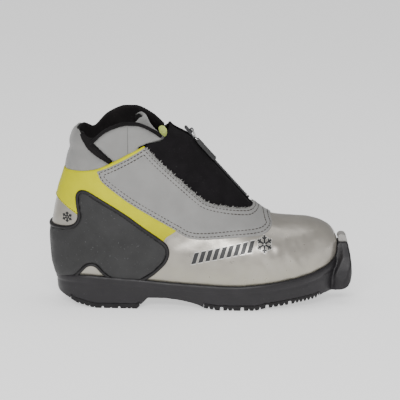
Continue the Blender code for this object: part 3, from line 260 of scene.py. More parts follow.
def depth_inside(shape, flat, block=6000):
    """Distance of flat (x, z) points to an outline, positive inside it."""
    starts = shape
    along = np.roll(shape, -1, axis=0) - starts
    length2 = np.maximum((along**2).sum(1), 1e-12)
    rise = np.where(np.abs(along[:, 1]) < 1e-12, 1e-12, along[:, 1])
    depths = []
    for first in range(0, len(flat), block):
        x = flat[first:first + block, 0][:, None] - starts[:, 0]
        z = flat[first:first + block, 1][:, None] - starts[:, 1]
        share = np.clip((x * along[:, 0] + z * along[:, 1]) / length2, 0, 1)
        nearest = np.sqrt(((x - share * along[:, 0])**2 + (z - share * along[:, 1])**2).min(1))
        crosses = (z < 0) != (z < along[:, 1])
        inside = (crosses & (x < z / rise * along[:, 0])).sum(1) % 2 == 1
        depths.append(np.where(inside, nearest, -nearest))
    return np.concatenate(depths)


def rolled(depth, height, radius):
    """Height of a panel that rounds down to nothing at its edge."""
    share = np.clip(depth / radius, 0, 1)
    return height * np.sqrt(1 - (1 - share)**2)


def bumpy(points, scale, seed=0.0):
    """Smooth noise, about -1 to 1, at points in millimetres."""
    shift = Vector((seed * 13.7, seed * 7.1, seed * 3.3))
    return np.array([noise.noise(Vector(point) / scale + shift) for point in points]) * 1.6


# ===================================================================== the form
def section_row(row, around):
    """Points round one section: ridge, outer side, base, inner side."""
    ridge_x, ridge_z, base_x, base_z, width, widest, power_up, power_down, middle = row
    angle = np.linspace(0, math.pi, 1200)
    power = np.where(np.cos(angle) >= 0, power_up, power_down)
    rise = np.sign(np.cos(angle)) * np.abs(np.cos(angle)) ** (2 / power)
    half = width * np.abs(np.sin(angle)) ** (2 / power)
    share = np.where(rise >= 0, widest + (1 - widest) * rise, widest + widest * rise)
    chord = math.hypot(ridge_x - base_x, ridge_z - base_z)
    arc = np.concatenate([[0], np.cumsum(np.hypot(np.diff(share * chord), np.diff(half)))])
    even = np.linspace(0, arc[-1], around // 2 + 1)
    share = np.interp(even, arc, share)
    half = np.interp(even, arc, half)
    x = base_x + (ridge_x - base_x) * share
    z = base_z + (ridge_z - base_z) * share
    outer = np.stack([x, middle - half, z], 1)
    inner = np.stack([x, middle + half, z], 1)
    return np.concatenate([outer, inner[-2:0:-1]])


def form_grid(rows, around):
    """Grid of points on the form; its last row is the toe's tip."""
    stations = np.array(SECTIONS, float)
    slopes = np.gradient(stations, axis=0)
    place = np.linspace(0, len(stations) - 1, rows)
    start = np.minimum(place.astype(int), len(stations) - 2)
    u = (place - start)[:, None]
    table = hermite(u, stations[start], slopes[start], stations[start + 1], slopes[start + 1])
    table[:, 4] = np.maximum(table[:, 4], 0)
    return np.stack([section_row(row, around) for row in table])


def outward_of(grid):
    """Unit outward direction at each grid point."""
    along = np.gradient(grid, axis=0)
    around = (np.roll(grid, -1, axis=1) - np.roll(grid, 1, axis=1)) / 2
    outward = np.cross(around, along)
    outward /= np.maximum(np.linalg.norm(outward, axis=2, keepdims=True), 1e-9)
    outward[-1] = (1, 0, 0)
    middle = grid.mean(axis=1, keepdims=True)
    return outward if ((grid - middle) * outward).sum() > 0 else -outward


class Sheet:
    """Points, outward directions and triangles, with named numbers at each point."""

    def __init__(self, points, outward, faces, values):
        self.points = points
        self.outward = outward
        self.faces = faces
        self.values = values

    def cut(self, depth):
        """The part where depth is above zero, with its depth kept as a value."""
        names = list(self.values)
        table = np.column_stack([self.points, self.outward] + [self.values[name] for name in names] + [depth])
        inside = depth[self.faces] > 0
        count = inside.sum(1)
        new_faces = [self.faces[count == 3]]
        pairs = []
        shapes = []
        for wanted, odd_is_inside in ((1, True), (2, False)):
            faces = self.faces[count == wanted]
            odd = np.argmax(inside[count == wanted] == odd_is_inside, axis=1)
            turn = (odd[:, None] + np.arange(3)) % 3
            a, b, c = np.take_along_axis(faces, turn, axis=1).T
            pairs += [np.stack([a, b], 1), np.stack([a, c], 1)]
            shapes.append((a, b, c))
        ends = np.sort(np.concatenate(pairs), axis=1)
        edges, place = np.unique(ends, axis=0, return_inverse=True)
        place = place.reshape(-1) + len(table)
        low, high = edges.T
        share = (depth[low] / (depth[low] - depth[high]))[:, None]
        table = np.concatenate([table, table[low] + (table[high] - table[low]) * share])
        table[len(depth):, -1] = 0
        splits = np.split(place, np.cumsum([len(pair) for pair in pairs])[:-1])
        a, b, c = shapes[0]
        new_faces.append(np.stack([a, splits[0], splits[1]], 1))
        a, b, c = shapes[1]
        new_faces.append(np.stack([splits[2], b, c], 1))
        new_faces.append(np.stack([splits[2], c, splits[3]], 1))
        faces = main_patch(np.concatenate(new_faces), len(table))
        used, faces = np.unique(faces, return_inverse=True)
        table = table[used]
        values = {name: table[:, 6 + index] for index, name in enumerate(names)}
        values["depth"] = table[:, -1]
        outward = table[:, 3:6] / np.linalg.norm(table[:, 3:6], axis=1, keepdims=True)
        return Sheet(table[:, :3], outward, faces.reshape(-1, 3), values)


def main_patch(faces, count):
    """Faces of the largest set that hangs together."""
    label = np.arange(count)
    while True:
        lowest = label[faces].min(1)
        new = label.copy()
        for corner in range(3):
            np.minimum.at(new, faces[:, corner], lowest)
        new = new[new]
        if (new == label).all():
            break
        label = new
    owners = label[faces[:, 0]]
    names, sizes = np.unique(owners, return_counts=True)
    return faces[owners == names[sizes.argmax()]]


def rim_edges(faces):
    """Directed edges that only one face has."""
    edges = np.concatenate([faces[:, [0, 1]], faces[:, [1, 2]], faces[:, [2, 0]]])
    _, place, sizes = np.unique(np.sort(edges, axis=1), axis=0, return_inverse=True, return_counts=True)
    return edges[sizes[place.reshape(-1)] == 1]


def level_lines(sheet, level, name="depth"):
    """Chains of (point, outward) along the line where a value has a level."""
    over = sheet.values[name] - level
    over = np.where(over == 0, 1e-9, over)
    crossed = sheet.faces[np.abs(np.sign(over)[sheet.faces].sum(1)) < 3]
    links = {}
    places = {}
    for face in crossed.tolist():
        keys = []
        for here, after in zip(face, face[1:] + face[:1]):
            if over[here] * over[after] < 0:
                key = (min(here, after), max(here, after))
                share = over[key[0]] / (over[key[0]] - over[key[1]])
                places[key] = np.concatenate([
                    sheet.points[key[0]] * (1 - share) + sheet.points[key[1]] * share,
                    sheet.outward[key[0]] * (1 - share) + sheet.outward[key[1]] * share])
                keys.append(key)
        for one, other in (keys, keys[::-1]):
            links.setdefault(one, []).append(other)
    lines = []
    while links:
        ends = [key for key, near in links.items() if len(near) == 1]
        here = ends[0] if ends else next(iter(links))
        line = [here]
        while True:
            near = [key for key in links.pop(here) if key in links]
            if not near:
                break
            here = near[0]
            line.append(here)
        if not ends:
            line.append(line[0])
        lines.append(np.array([places[key] for key in line]))
    return lines


# ================================================================ making objects
def new_object(name, points, faces):
    """A mesh object from points in millimetres."""
    mesh = bpy.data.meshes.new(name)
    mesh.from_pydata((np.asarray(points, float) * MM).tolist(), [], [list(map(int, face)) for face in faces])
    piece = bpy.data.objects.new(name, mesh)
    bpy.context.collection.objects.link(piece)
    return piece


def smooth_shading(piece, sharp):
    """Smooth shading, with edges over an angle in degrees left sharp."""
    piece.data.shade_smooth()
    piece.data.set_sharp_from_angle(angle=math.radians(sharp))


def make_object(name, points, faces, look, body="boot", slot=None, smooth=True, sharp=45):
    """A visible piece from points in millimetres, which rides on a body."""
    piece = new_object(name, points, faces)
    piece.data.materials.append(look)
    if smooth:
        smooth_shading(piece, sharp)
    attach(piece, body)
    return piece


def shell(name, sheet, top, bottom, look, slot, body="boot", sharp=45):
    """A closed body between two offsets of a sheet."""
    points = np.concatenate([sheet.points + sheet.outward * np.reshape(top, (-1, 1)),
                             sheet.points + sheet.outward * np.reshape(bottom, (-1, 1))])
    count = len(sheet.points)
    rim = rim_edges(sheet.faces)
    a, b = rim.T
    faces = sheet.faces.tolist() + (sheet.faces[:, ::-1] + count).tolist()
    faces += np.stack([b, a, a + count], 1).tolist() + np.stack([b, a + count, b + count], 1).tolist()
    return make_object(name, points, faces, look, body, slot, sharp=sharp)


def point_outward(piece):
    """Point every face of a closed mesh outward."""
    mesh = bmesh.new()
    mesh.from_mesh(piece.data)
    bmesh.ops.recalc_face_normals(mesh, faces=mesh.faces)
    mesh.to_mesh(piece.data)
    mesh.free()


def stitches(name, lines, pitch, length, radius, lift, look, slot):
    """A row of short sewn stitches along lines of (point, outward)."""
    rings = ((-1.0, 0.45), (-0.6, 0.95), (0.0, 1.0), (0.6, 0.95), (1.0, 0.45))
    sides = 6
    template = []
    for place, size in rings:
        for side in range(sides):
            angle = 2 * math.pi * side / sides
            template.append((place * length / 2, math.cos(angle) * radius * size,
                             math.sin(angle) * radius * size))
    template = np.array(template)
    template[:, 2] -= 0.5 * radius * (np.abs(template[:, 0]) / (length / 2))**2
    faces = [list(range(sides))[::-1], list(range(len(template) - sides, len(template)))]
    for ring in range(len(rings) - 1):
        for side in range(sides):
            a, b = ring * sides + side, ring * sides + (side + 1) % sides
            faces.append([a, b, b + sides, a + sides])
    points = []
    all_faces = []
    for line in lines:
        step = np.linalg.norm(np.diff(line[:, :3], axis=0), axis=1)
        arc = np.concatenate([[0], np.cumsum(step)])
        if arc[-1] < 2 * pitch:
            continue
        number = int(arc[-1] / pitch)
        for middle in (np.arange(number) + 0.5) * arc[-1] / number:
            here = np.array([np.interp(middle, arc, line[:, axis]) for axis in range(6)])
            ahead = np.array([np.interp(middle + 0.6, arc, line[:, axis]) for axis in range(3)])
            behind = np.array([np.interp(middle - 0.6, arc, line[:, axis]) for axis in range(3)])
            outward = here[3:] / np.linalg.norm(here[3:])
            along = (ahead - behind) / np.linalg.norm(ahead - behind)
            across = np.cross(outward, along)
            start = len(points) * len(template)
            points.append(here[:3] + outward * lift + template[:, :1] * along
                          + template[:, 1:2] * across + template[:, 2:3] * outward)
            all_faces += [[corner + start for corner in face] for face in faces]
    return make_object(name, np.concatenate(points), all_faces, look, slot=slot, sharp=80)


def tube(name, points, radius, look, slot, body="boot", closed=False, sides=10):
    """A round tube along points in millimetres, with round ends."""
    points = np.array(points, float)
    radii = np.broadcast_to(np.asarray(radius, float), (len(points),)).copy()
    if closed:
        along = np.roll(points, -1, axis=0) - np.roll(points, 1, axis=0)
    else:
        along = np.gradient(points, axis=0)
        points = np.concatenate([points[:1] - along[:1] / np.linalg.norm(along[0]) * radii[0] * 0.6, points,
                                 points[-1:] + along[-1:] / np.linalg.norm(along[-1]) * radii[-1] * 0.6])
        radii = np.concatenate([radii[:1] * 0.55, radii, radii[-1:] * 0.55])
        along = np.concatenate([along[:1], along, along[-1:]])
    along /= np.linalg.norm(along, axis=1, keepdims=True)
    across = np.cross(along[0], (0.0, 0.0, 1.0) if abs(along[0, 2]) < 0.9 else (0.0, 1.0, 0.0))
    rings = []
    angles = np.arange(sides) * 2 * math.pi / sides
    for place, direction, reach in zip(points, along, radii):
        across = across - direction * (across @ direction)
        across /= np.linalg.norm(across)
        up = np.cross(direction, across)
        rings.append(place + reach * (np.cos(angles)[:, None] * across + np.sin(angles)[:, None] * up))
    faces = []
    count = len(rings)
    for ring in range(count if closed else count - 1):
        for side in range(sides):
            a, b = ring * sides + side, ring * sides + (side + 1) % sides
            c = (b + sides) % (count * sides)
            d = (a + sides) % (count * sides)
            faces.append([a, b, c, d])
    if not closed:
        faces += [list(range(sides))[::-1], list(range((count - 1) * sides, count * sides))]
    piece = make_object(name, np.concatenate(rings), faces, look, body, slot, sharp=70)
    point_outward(piece)
    return piece


def pushed(shape, low, high, axis="y"):
    """Points and faces of a flat outline that is pushed along an axis from low to high."""
    place = "xyz".index(axis)
    points = [(*spot[:place], level, *spot[place:]) for level in (low, high) for spot in shape]
    count = len(shape)
    faces = [list(range(count)), list(range(2 * count - 1, count - 1, -1))]
    faces += [[(here + 1) % count, here, here + count, (here + 1) % count + count] for here in range(count)]
    return points, faces


def prism(name, shape, low, high, look, slot, body="boot"):
    """An (x, z) outline pushed through from low to high."""
    piece = make_object(name, *pushed(shape, low, high), look, body, slot, sharp=35)
    point_outward(piece)
    return piece


def round_edges(piece, width, segments=2, angle=30, harden=False):
    """Round the edges that are sharper than an angle in degrees."""
    edge = piece.modifiers.new("edge", "BEVEL")
    edge.width = width * MM
    edge.segments = segments
    edge.limit_method = "ANGLE"
    edge.angle_limit = math.radians(angle)
    edge.harden_normals = harden


def combine(piece, cutter, operation):
    """Boolean of a piece with a cutter, applied at once; the cutter goes."""
    boolean = piece.modifiers.new("cut", "BOOLEAN")
    boolean.object = cutter
    boolean.operation = operation
    boolean.solver = "EXACT"
    apply_modifiers(piece)
    bpy.data.objects.remove(cutter, do_unlink=True)


def apply_modifiers(piece):
    """Bake a piece's modifiers into its mesh."""
    view = bpy.context.evaluated_depsgraph_get()
    view.update()
    mesh = bpy.data.meshes.new_from_object(piece.evaluated_get(view), preserve_all_data_layers=True,
                                           depsgraph=view)
    old = piece.data
    piece.modifiers.clear()
    piece.data = mesh
    bpy.data.meshes.remove(old)


def scratch_object(points, faces):
    """A mesh that is only used as a cutter."""
    piece = new_object("cutter", points, faces)
    point_outward(piece)
    return piece


def scratch_prism(shape, low, high, axis="y"):
    """A prism that is only used as a cutter."""
    return scratch_object(*pushed(shape, low, high, axis))


def scratch_rings(rings):
    """A cutter through rings of points that have the same number each."""
    count = len(rings[0])
    last = (len(rings) - 1) * count
    faces = [list(range(count)), list(range(last, last + count))[::-1]]
    for start in range(0, last, count):
        for here in range(count):
            after = (here + 1) % count
            faces.append([start + here, start + after, start + after + count, start + here + count])
    return scratch_object([point for ring in rings for point in ring], faces)


def inflate(piece, held, cap):
    """Blow a pad up with cloth, hold the marked points and cap the movement in millimetres."""
    group = piece.vertex_groups.new(name="held")
    group.add([int(index) for index in np.flatnonzero(held)], 1.0, "REPLACE")
    cloth = piece.modifiers.new("pad", "CLOTH")
    cloth.settings.use_pressure = True
    cloth.settings.uniform_pressure_force = PAD_PRESSURE
    cloth.settings.vertex_group_mass = "held"
    cloth.settings.effector_weights.gravity = 0
    cloth.settings.quality = 5
    cloth.settings.mass = 0.1
    cloth.collision_settings.use_collision = False
    cloth.collision_settings.use_self_collision = False
    cloth.point_cache.frame_end = PAD_FRAMES + 1
    before = read_points(piece.data)
    for step in range(1, PAD_FRAMES + 1):
        bpy.context.scene.frame_set(step)
    view = bpy.context.evaluated_depsgraph_get()
    after = read_points(piece.evaluated_get(view).data)
    piece.modifiers.remove(cloth)
    piece.vertex_groups.clear()
    bpy.context.scene.frame_set(1)
    move = after - before
    size = np.linalg.norm(move, axis=1, keepdims=True)
    move *= np.minimum(1, cap * MM / np.maximum(size, 1e-9))
    write_points(piece.data, before + move)
    finer = piece.modifiers.new("finer", "SUBSURF")
    finer.levels = 1
    finer.render_levels = 1


def read_points(mesh):
    """The mesh's points in metres, as an array."""
    flat = np.empty(len(mesh.vertices) * 3)
    mesh.vertices.foreach_get("co", flat)
    return flat.reshape(-1, 3)


def write_points(mesh, points):
    """Move the mesh's points, given in metres."""
    mesh.vertices.foreach_set("co", points.reshape(-1))
    mesh.update()


# ==================================================================== materials
# Sizes in millimetres of the patches in colour, in the low tint, in dust and in gloss.
PATCH_SIZE = 16.0
STREAK_SIZE = 9.0
SPECK_SIZE = 1.6
GLOSS_SIZE = 7.0


def texture(tree, place, kind, size):
    """Height output of a texture whose features are about size millimetres."""
    nodes, links = tree.nodes, tree.links
    if kind == "cells":
        node = nodes.new("ShaderNodeTexVoronoi")
        node.feature = "SMOOTH_F1"
        node.inputs["Scale"].default_value = 1 / (size * MM)
        output = node.outputs["Distance"]
    elif kind == "ribs":
        return waves(tree, place, size, "Z")
    elif kind == "weave":
        return math_node(tree, "MULTIPLY", waves(tree, place, size, "X"), waves(tree, place, size, "Z"))
    else:
        node = nodes.new("ShaderNodeTexNoise")
        node.inputs["Scale"].default_value = 1 / (size * MM)
        node.inputs["Detail"].default_value = 3.0
        output = node.outputs["Fac"]
    links.new(place, node.inputs["Vector"])
    return output


def waves(tree, place, size, direction):
    """Height output of parallel waves across a direction."""
    node = tree.nodes.new("ShaderNodeTexWave")
    node.bands_direction = direction
    node.inputs["Scale"].default_value = math.pi / (10 * size * MM)
    node.inputs["Distortion"].default_value = 0.6
    tree.links.new(place, node.inputs["Vector"])
    return node.outputs["Fac"]


def math_node(tree, operation, first, second):
    """Output of a maths node on two numbers or sockets."""
    node = tree.nodes.new("ShaderNodeMath")
    node.operation = operation
    for socket, value in zip(node.inputs, (first, second)):
        if isinstance(value, (int, float)):
            socket.default_value = value
        else:
            tree.links.new(value, socket)
    return node.outputs[0]


def mix_colour(tree, share, first, second):
    """Output of a mix of two colours or colour sockets."""
    node = tree.nodes.new("ShaderNodeMix")
    node.data_type = "RGBA"
    tree.links.new(share, node.inputs["Factor"])
    for socket, value in ((node.inputs[6], first), (node.inputs[7], second)):
        if isinstance(value, tuple):
            socket.default_value = (*value, 1)
        else:
            tree.links.new(value, socket)
    return node.outputs[2]


def spread(tree, value, low, high, to_low=0.0, to_high=1.0):
    """Output of a value mapped from one range to another, and held at its ends."""
    node = tree.nodes.new("ShaderNodeMapRange")
    tree.links.new(value, node.inputs["Value"])
    for name, number in (("From Min", low), ("From Max", high), ("To Min", to_low), ("To Max", to_high)):
        node.inputs[name].default_value = number
    return node.outputs["Result"]


def finish(name, colour, roughness, metallic=0.0, mottle=0.08, grains=(), sheen=0.0, coat=0.0,
           rough_spread=0.07, low_tint=None, specks=0.0, gloss_level=0.5):
    """A procedural material: uneven colour and gloss, and grain as bump.

    grains holds (texture, size, depth) in millimetres; low_tint is a colour mixed
    in towards the bottom, with the heights where it is full and gone; specks is the strength of fine pale
    dust.
    """
    material = bpy.data.materials.new(name)
    material.use_nodes = True
    tree = material.node_tree
    shader = tree.nodes["Principled BSDF"]
    shader.inputs["Metallic"].default_value = metallic
    shader.inputs["Specular IOR Level"].default_value = gloss_level
    shader.inputs["Sheen Weight"].default_value = sheen
    shader.inputs["Sheen Roughness"].default_value = 0.45
    shader.inputs["Coat Weight"].default_value = coat
    shader.inputs["Coat Roughness"].default_value = 0.25
    place = tree.nodes.new("ShaderNodeTexCoord").outputs["Object"]
    dark = tuple(channel * (1 - mottle) for channel in colour)
    light = tuple(min(1.0, channel * (1 + mottle)) for channel in colour)
    patches = spread(tree, texture(tree, place, "noise", PATCH_SIZE), 0.35, 0.65)
    surface = mix_colour(tree, patches, dark, light)
    if low_tint:
        tint, low, high = low_tint
        split = tree.nodes.new("ShaderNodeSeparateXYZ")
        tree.links.new(place, split.inputs[0])
        height = spread(tree, split.outputs["Z"], low * MM, high * MM, 1.0, 0.0)
        streaks = spread(tree, texture(tree, place, "noise", STREAK_SIZE), 0.3, 0.7, 0.35, 1.0)
        surface = mix_colour(tree, math_node(tree, "MULTIPLY", height, streaks), surface, tint)
    if specks:
        dust = spread(tree, texture(tree, place, "noise", SPECK_SIZE), 0.66, 0.72, 0.0, specks)
        surface = mix_colour(tree, dust, surface, tuple(min(1.0, 0.12 + channel * 1.6) for channel in colour))
    tree.links.new(surface, shader.inputs["Base Color"])
    gloss = spread(tree, texture(tree, place, "noise", GLOSS_SIZE), 0.3, 0.7,
                   max(0.02, roughness - rough_spread), min(1.0, roughness + rough_spread))
    tree.links.new(gloss, shader.inputs["Roughness"])
    height = None
    for kind, size, depth in grains:
        part = math_node(tree, "MULTIPLY", texture(tree, place, kind, size), depth)
        height = part if height is None else math_node(tree, "ADD", height, part)
    if height is not None:
        bump = tree.nodes.new("ShaderNodeBump")
        bump.inputs["Strength"].default_value = 1.0
        bump.inputs["Distance"].default_value = MM
        tree.links.new(height, bump.inputs["Height"])
        tree.links.new(bump.outputs["Normal"], shader.inputs["Normal"])
    return material


# The silver takes on a yellowed tint of dirt towards the sole, full at 20 mm and gone at 52 mm.
SILVER = finish("silver_skin", (0.385, 0.36, 0.318), 0.34, metallic=0.5, mottle=0.06, coat=0.15,
                grains=(("cells", 1.6, 0.014), ("noise", 2.2, 0.03)), low_tint=((0.38, 0.36, 0.28), 20, 52))
MATTE = finish("grey_overlay", (0.265, 0.262, 0.255), 0.62, mottle=0.05, sheen=0.15,
               grains=(("cells", 0.9, 0.06), ("noise", 0.35, 0.04), ("noise", 9.0, 0.25)))
PADDING = finish("grey_padding", (0.255, 0.252, 0.245), 0.78, mottle=0.05, sheen=0.3,
                 grains=(("weave", 0.9, 0.06), ("noise", 0.4, 0.04), ("noise", 11.0, 0.4)))
# The lime turns darker and streaky towards the bottom, full at 60 mm and gone at 90 mm.
LIME = finish("lime_band", (0.60, 0.585, 0.0), 0.45, mottle=0.05, gloss_level=0.12,
              grains=(("cells", 0.8, 0.05), ("noise", 0.4, 0.03)), low_tint=((0.46, 0.43, 0.0), 60, 90))
COUNTER_GREY = finish("counter_shell", (0.030, 0.0298, 0.0302), 0.55, mottle=0.12, gloss_level=0.3,
                      grains=(("cells", 0.55, 0.05), ("noise", 0.3, 0.04)), specks=0.25)
PIPING_BLACK = finish("black_piping", (0.010, 0.009, 0.010), 0.45, mottle=0.2, gloss_level=0.35,
                      grains=(("noise", 0.6, 0.03),))
TEXTILE = finish("black_textile", (0.007, 0.006, 0.0065), 0.85, mottle=0.25, sheen=0.02, gloss_level=0.2,
                 grains=(("weave", 0.7, 0.12), ("noise", 0.4, 0.06)))
LINING_BLACK = finish("black_lining", (0.010, 0.0085, 0.009), 0.92, mottle=0.3, sheen=0.04, gloss_level=0.2,
                      grains=(("weave", 1.1, 0.15), ("noise", 0.5, 0.1)), specks=0.12)
COVER_BLACK = finish("black_cover", (0.0065, 0.0055, 0.0065), 0.82, mottle=0.2, sheen=0.01, gloss_level=0.15,
                     grains=(("weave", 0.6, 0.05), ("noise", 0.5, 0.05), ("noise", 10.0, 0.3)), specks=0.10)
TAB_LIME = finish("pale_lime_tab", (0.56, 0.66, 0.16), 0.7, mottle=0.08, sheen=0.3,
                  grains=(("ribs", 1.2, 0.2), ("noise", 0.4, 0.05)))
THREAD = finish("stitch_thread", (0.045, 0.036, 0.030), 0.8, mottle=0.15, grains=(("noise", 0.5, 0.1),))
LIME_THREAD = finish("lime_thread", (0.20, 0.17, 0.01), 0.8, grains=(("noise", 0.5, 0.1),))
SEAM = finish("seam_thread", (0.13, 0.13, 0.125), 0.85, mottle=0.15, grains=(("noise", 0.5, 0.1),))
FIBRE = finish("loose_fibre", (0.34, 0.335, 0.32), 0.85, mottle=0.1, grains=(("noise", 0.4, 0.05),))
SOLE = finish("sole_rubber", (0.0125, 0.011, 0.013), 0.44, mottle=0.15, gloss_level=0.4, rough_spread=0.06,
              grains=(("noise", 0.4, 0.05), ("cells", 0.8, 0.03)), specks=0.12)
TREAD = finish("tread_rubber", (0.012, 0.011, 0.012), 0.68, mottle=0.2, gloss_level=0.3,
               grains=(("noise", 0.5, 0.08), ("noise", 3.0, 0.1)), specks=0.3)
NUB = finish("nub_grey", (0.35, 0.34, 0.325), 0.5, mottle=0.07, grains=(("noise", 0.5, 0.05),))
ZIP_BLACK = finish("zip_plastic", (0.022, 0.022, 0.024), 0.35, mottle=0.1, grains=(("noise", 0.4, 0.03),))
GUNMETAL = finish("gunmetal", (0.035, 0.035, 0.038), 0.38, metallic=0.5, mottle=0.1,
                  grains=(("noise", 0.6, 0.02),))
BRIGHT = finish("bright_wire", (0.82, 0.82, 0.81), 0.16, metallic=1.0, mottle=0.04,
                grains=(("noise", 0.8, 0.01),))
STEEL = finish("steel", (0.60, 0.60, 0.61), 0.28, metallic=1.0, mottle=0.06, grains=(("noise", 0.5, 0.02),))
GRIP = finish("grip_rubber", (0.014, 0.014, 0.0145), 0.5, mottle=0.12, grains=(("noise", 0.4, 0.05),))
BOARD = finish("board", (0.40, 0.31, 0.21), 0.8, mottle=0.12,
               grains=(("noise", 0.8, 0.1), ("noise", 0.3, 0.05)))
FOAM = finish("footbed_foam", (0.05, 0.05, 0.052), 0.85, mottle=0.15, sheen=0.3,
              grains=(("weave", 1.2, 0.15), ("noise", 0.4, 0.05)))
MARK = finish("mark_print", (0.016, 0.016, 0.017), 0.42, mottle=0.1, grains=(("noise", 0.6, 0.02),))
# Pale rim round the side marks: a painted highlight where the raised edge of the print catches light.
MARK_HIGHLIGHT_RIM = finish("mark_painted_highlight", (0.66, 0.65, 0.62), 0.35, metallic=0.4, mottle=0.04,
                   grains=(("noise", 0.6, 0.02),))


# ============================================================== fields of the form
grid = form_grid(ROWS, AROUND)
OUT = outward_of(grid)


def facing_out(points, outward, faces, probe=0):
    """The faces, all turned round if the probed one points inward."""
    a, b, c = faces[probe]
    inward = np.cross(points[b] - points[a], points[c] - points[a]) @ outward[a] < 0
    return faces[:, ::-1] if inward else faces


def whole_sheet():
    """The whole form as one sheet, closed round and open at the collar."""
    points = np.concatenate([grid[:-1].reshape(-1, 3), grid[-1, :1]])
    outward = np.concatenate([OUT[:-1].reshape(-1, 3), OUT[-1, :1]])
    tip = (ROWS - 1) * AROUND
    row, column = np.meshgrid(np.arange(ROWS - 1), np.arange(AROUND), indexing="ij")
    a = row * AROUND + column
    b = row * AROUND + (column + 1) % AROUND
    c = np.minimum(b + AROUND, tip)
    d = np.minimum(a + AROUND, tip)
    outer = column < AROUND // 2
    first = np.where(outer[..., None], np.stack([a, b, c], -1), np.stack([a, b, d], -1)).reshape(-1, 3)
    second = np.where(outer[..., None], np.stack([a, c, d], -1), np.stack([b, c, d], -1)).reshape(-1, 3)
    faces = np.concatenate([first, second])
    faces = faces[(faces[:, 0] != faces[:, 1]) & (faces[:, 1] != faces[:, 2]) & (faces[:, 0] != faces[:, 2])]
    return Sheet(points, outward, facing_out(points, outward, faces), {})


FORM = whole_sheet()
X, Y, Z = FORM.points.T
LIFT = INNER_WING_LIFT * np.clip((Z - 140) / 28, 0, 1) * np.clip(Y / 30, 0, 1)
FLAT = np.stack([X, Z - LIFT], 1)
FAR = ((60, 110), (60, 200), (-10, 200))
throat_outline = outline(THROAT, FAR, COVER_TOP[::-1])
overlay_outline = outline(OVERLAY_TOP, THROAT, ((60, 96),), OVERLAY_LOWER[::-1], OVERLAY_REAR[::-1])
band_end_outline = outline(BAND_END, ((-60, 20), (-160, 20), (-160, 200), (60, 200), (60, 140)))
counter_outline = outline(COUNTER_TOP, COUNTER_HEEL, ((-145, 10), (-52, 10)), COUNTER_FRONT[::-1])
window_outline = outline(WINDOW, ((-83, 10), (-113.5, 10)))
rear_outline = outline(REAR_COLLAR_TOP, REAR_COLLAR_FRONT, ((-80.5, 110), (-145, 110)))
wing_outline = outline(WING_REAR, WING_TOP, WING_FOOT, ((-54.5, 148.4), (-57, 141), (-78, 120)))
cover_outline = outline(COVER_TOP, ((-10, 200), (80, 200), (80, 60), (-70, 60), (-70, 147.4)))
IN_THROAT, IN_OVERLAY, IN_BAND, IN_COUNTER, IN_WINDOW, IN_REAR, IN_WING, IN_COVER = (
    depth_inside(shape, FLAT) for shape in (
        throat_outline, overlay_outline, band_end_outline, counter_outline, window_outline, rear_outline,
        wing_outline, cover_outline))
OVER_FEATHER = Z - height_of(FEATHER, X)
UNDER_BAND_TOP = height_of(BAND_TOP, X) - Z
OVER_BAND_HEEL = Z - height_of(BAND_HEEL, X)
UNDER_LINING_TOP = height_of(LINING_TOP, X) - FLAT[:, 1]
UNDER_GUSSET_TOP = height_of(GUSSET_TOP, X) - FLAT[:, 1]
OVER_BINDING_FOOT = Z - height_of(BINDING_FOOT, X)


def part_of(*depths, **values):
    """The part of the form where every depth is above zero."""
    sheet = Sheet(FORM.points, FORM.outward, FORM.faces, values)
    return sheet.cut(np.minimum.reduce(depths))


# ========================================================= skins and overlays
def dents(points):
    """Soft creases of the worn silver skin where the forefoot bends."""
    x, y, z = points.T
    flex = np.exp(-((x - 80) / 24)**2) * np.clip((z - 24) / 14, 0, 1) * np.clip((72 - z) / 14, 0, 1)
    leaning = np.stack([x + 0.45 * z, 0.5 * y, 0.35 * z], 1)
    side = np.exp(-((x - 15) / 55)**2) * np.clip((z - 24) / 10, 0, 1) * np.clip((66 - z) / 10, 0, 1)
    return (0.95 * flex * bumpy(leaning, 8.0, 1) + 0.45 * side * bumpy(points, 22.0, 2)
            + 0.12 * bumpy(points, 7.0, 3))


def make_skins():
    """The silver skins of the forefoot and the heel."""
    skin = part_of(X - VAMP_SPLIT_X, -IN_THROAT - SKIN_LAP, UNDER_BAND_TOP - SKIN_LAP,
                   OVER_FEATHER + TURNED_IN)
    vamp = shell("vamp_skin", skin, dents(skin.points), SKIN_INSIDE, SILVER, "silver_skin")
    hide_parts("vamp")
    skin = part_of(VAMP_SPLIT_X - X, UNDER_BAND_TOP - SKIN_LAP, OVER_FEATHER + TURNED_IN)
    heel = shell("heel_skin", skin, 0.15 * bumpy(skin.points, 12.0, 4), SKIN_INSIDE, SILVER, "silver_skin")
    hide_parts("heel_quarter")


def make_band():
    """The lime band along the side, with the seam above the heel."""
    band = part_of(UNDER_BAND_TOP, IN_BAND, OVER_BAND_HEEL, -IN_OVERLAY + 1.5, -IN_COUNTER + 1.0,
                   -IN_THROAT - 0.3)
    top = -0.1 + rolled(band.values["depth"], 1.3, 1.4) + 0.15 * bumpy(band.points, 12.0, 5)
    piece = shell("lime_side_band", band, top, PANEL_FOOT, LIME, "lime_band")
    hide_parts("side_band")
    heel = part_of(-X - 105, UNDER_BAND_TOP, -IN_COUNTER - 1.0, edge=OVER_BAND_HEEL)
    stitches("heel_seam_stitches", level_lines(heel, 1.5, "edge"), pitch=2.6, length=1.9, radius=0.25,
             lift=1.2, look=LIME_THREAD, slot="lime_band")


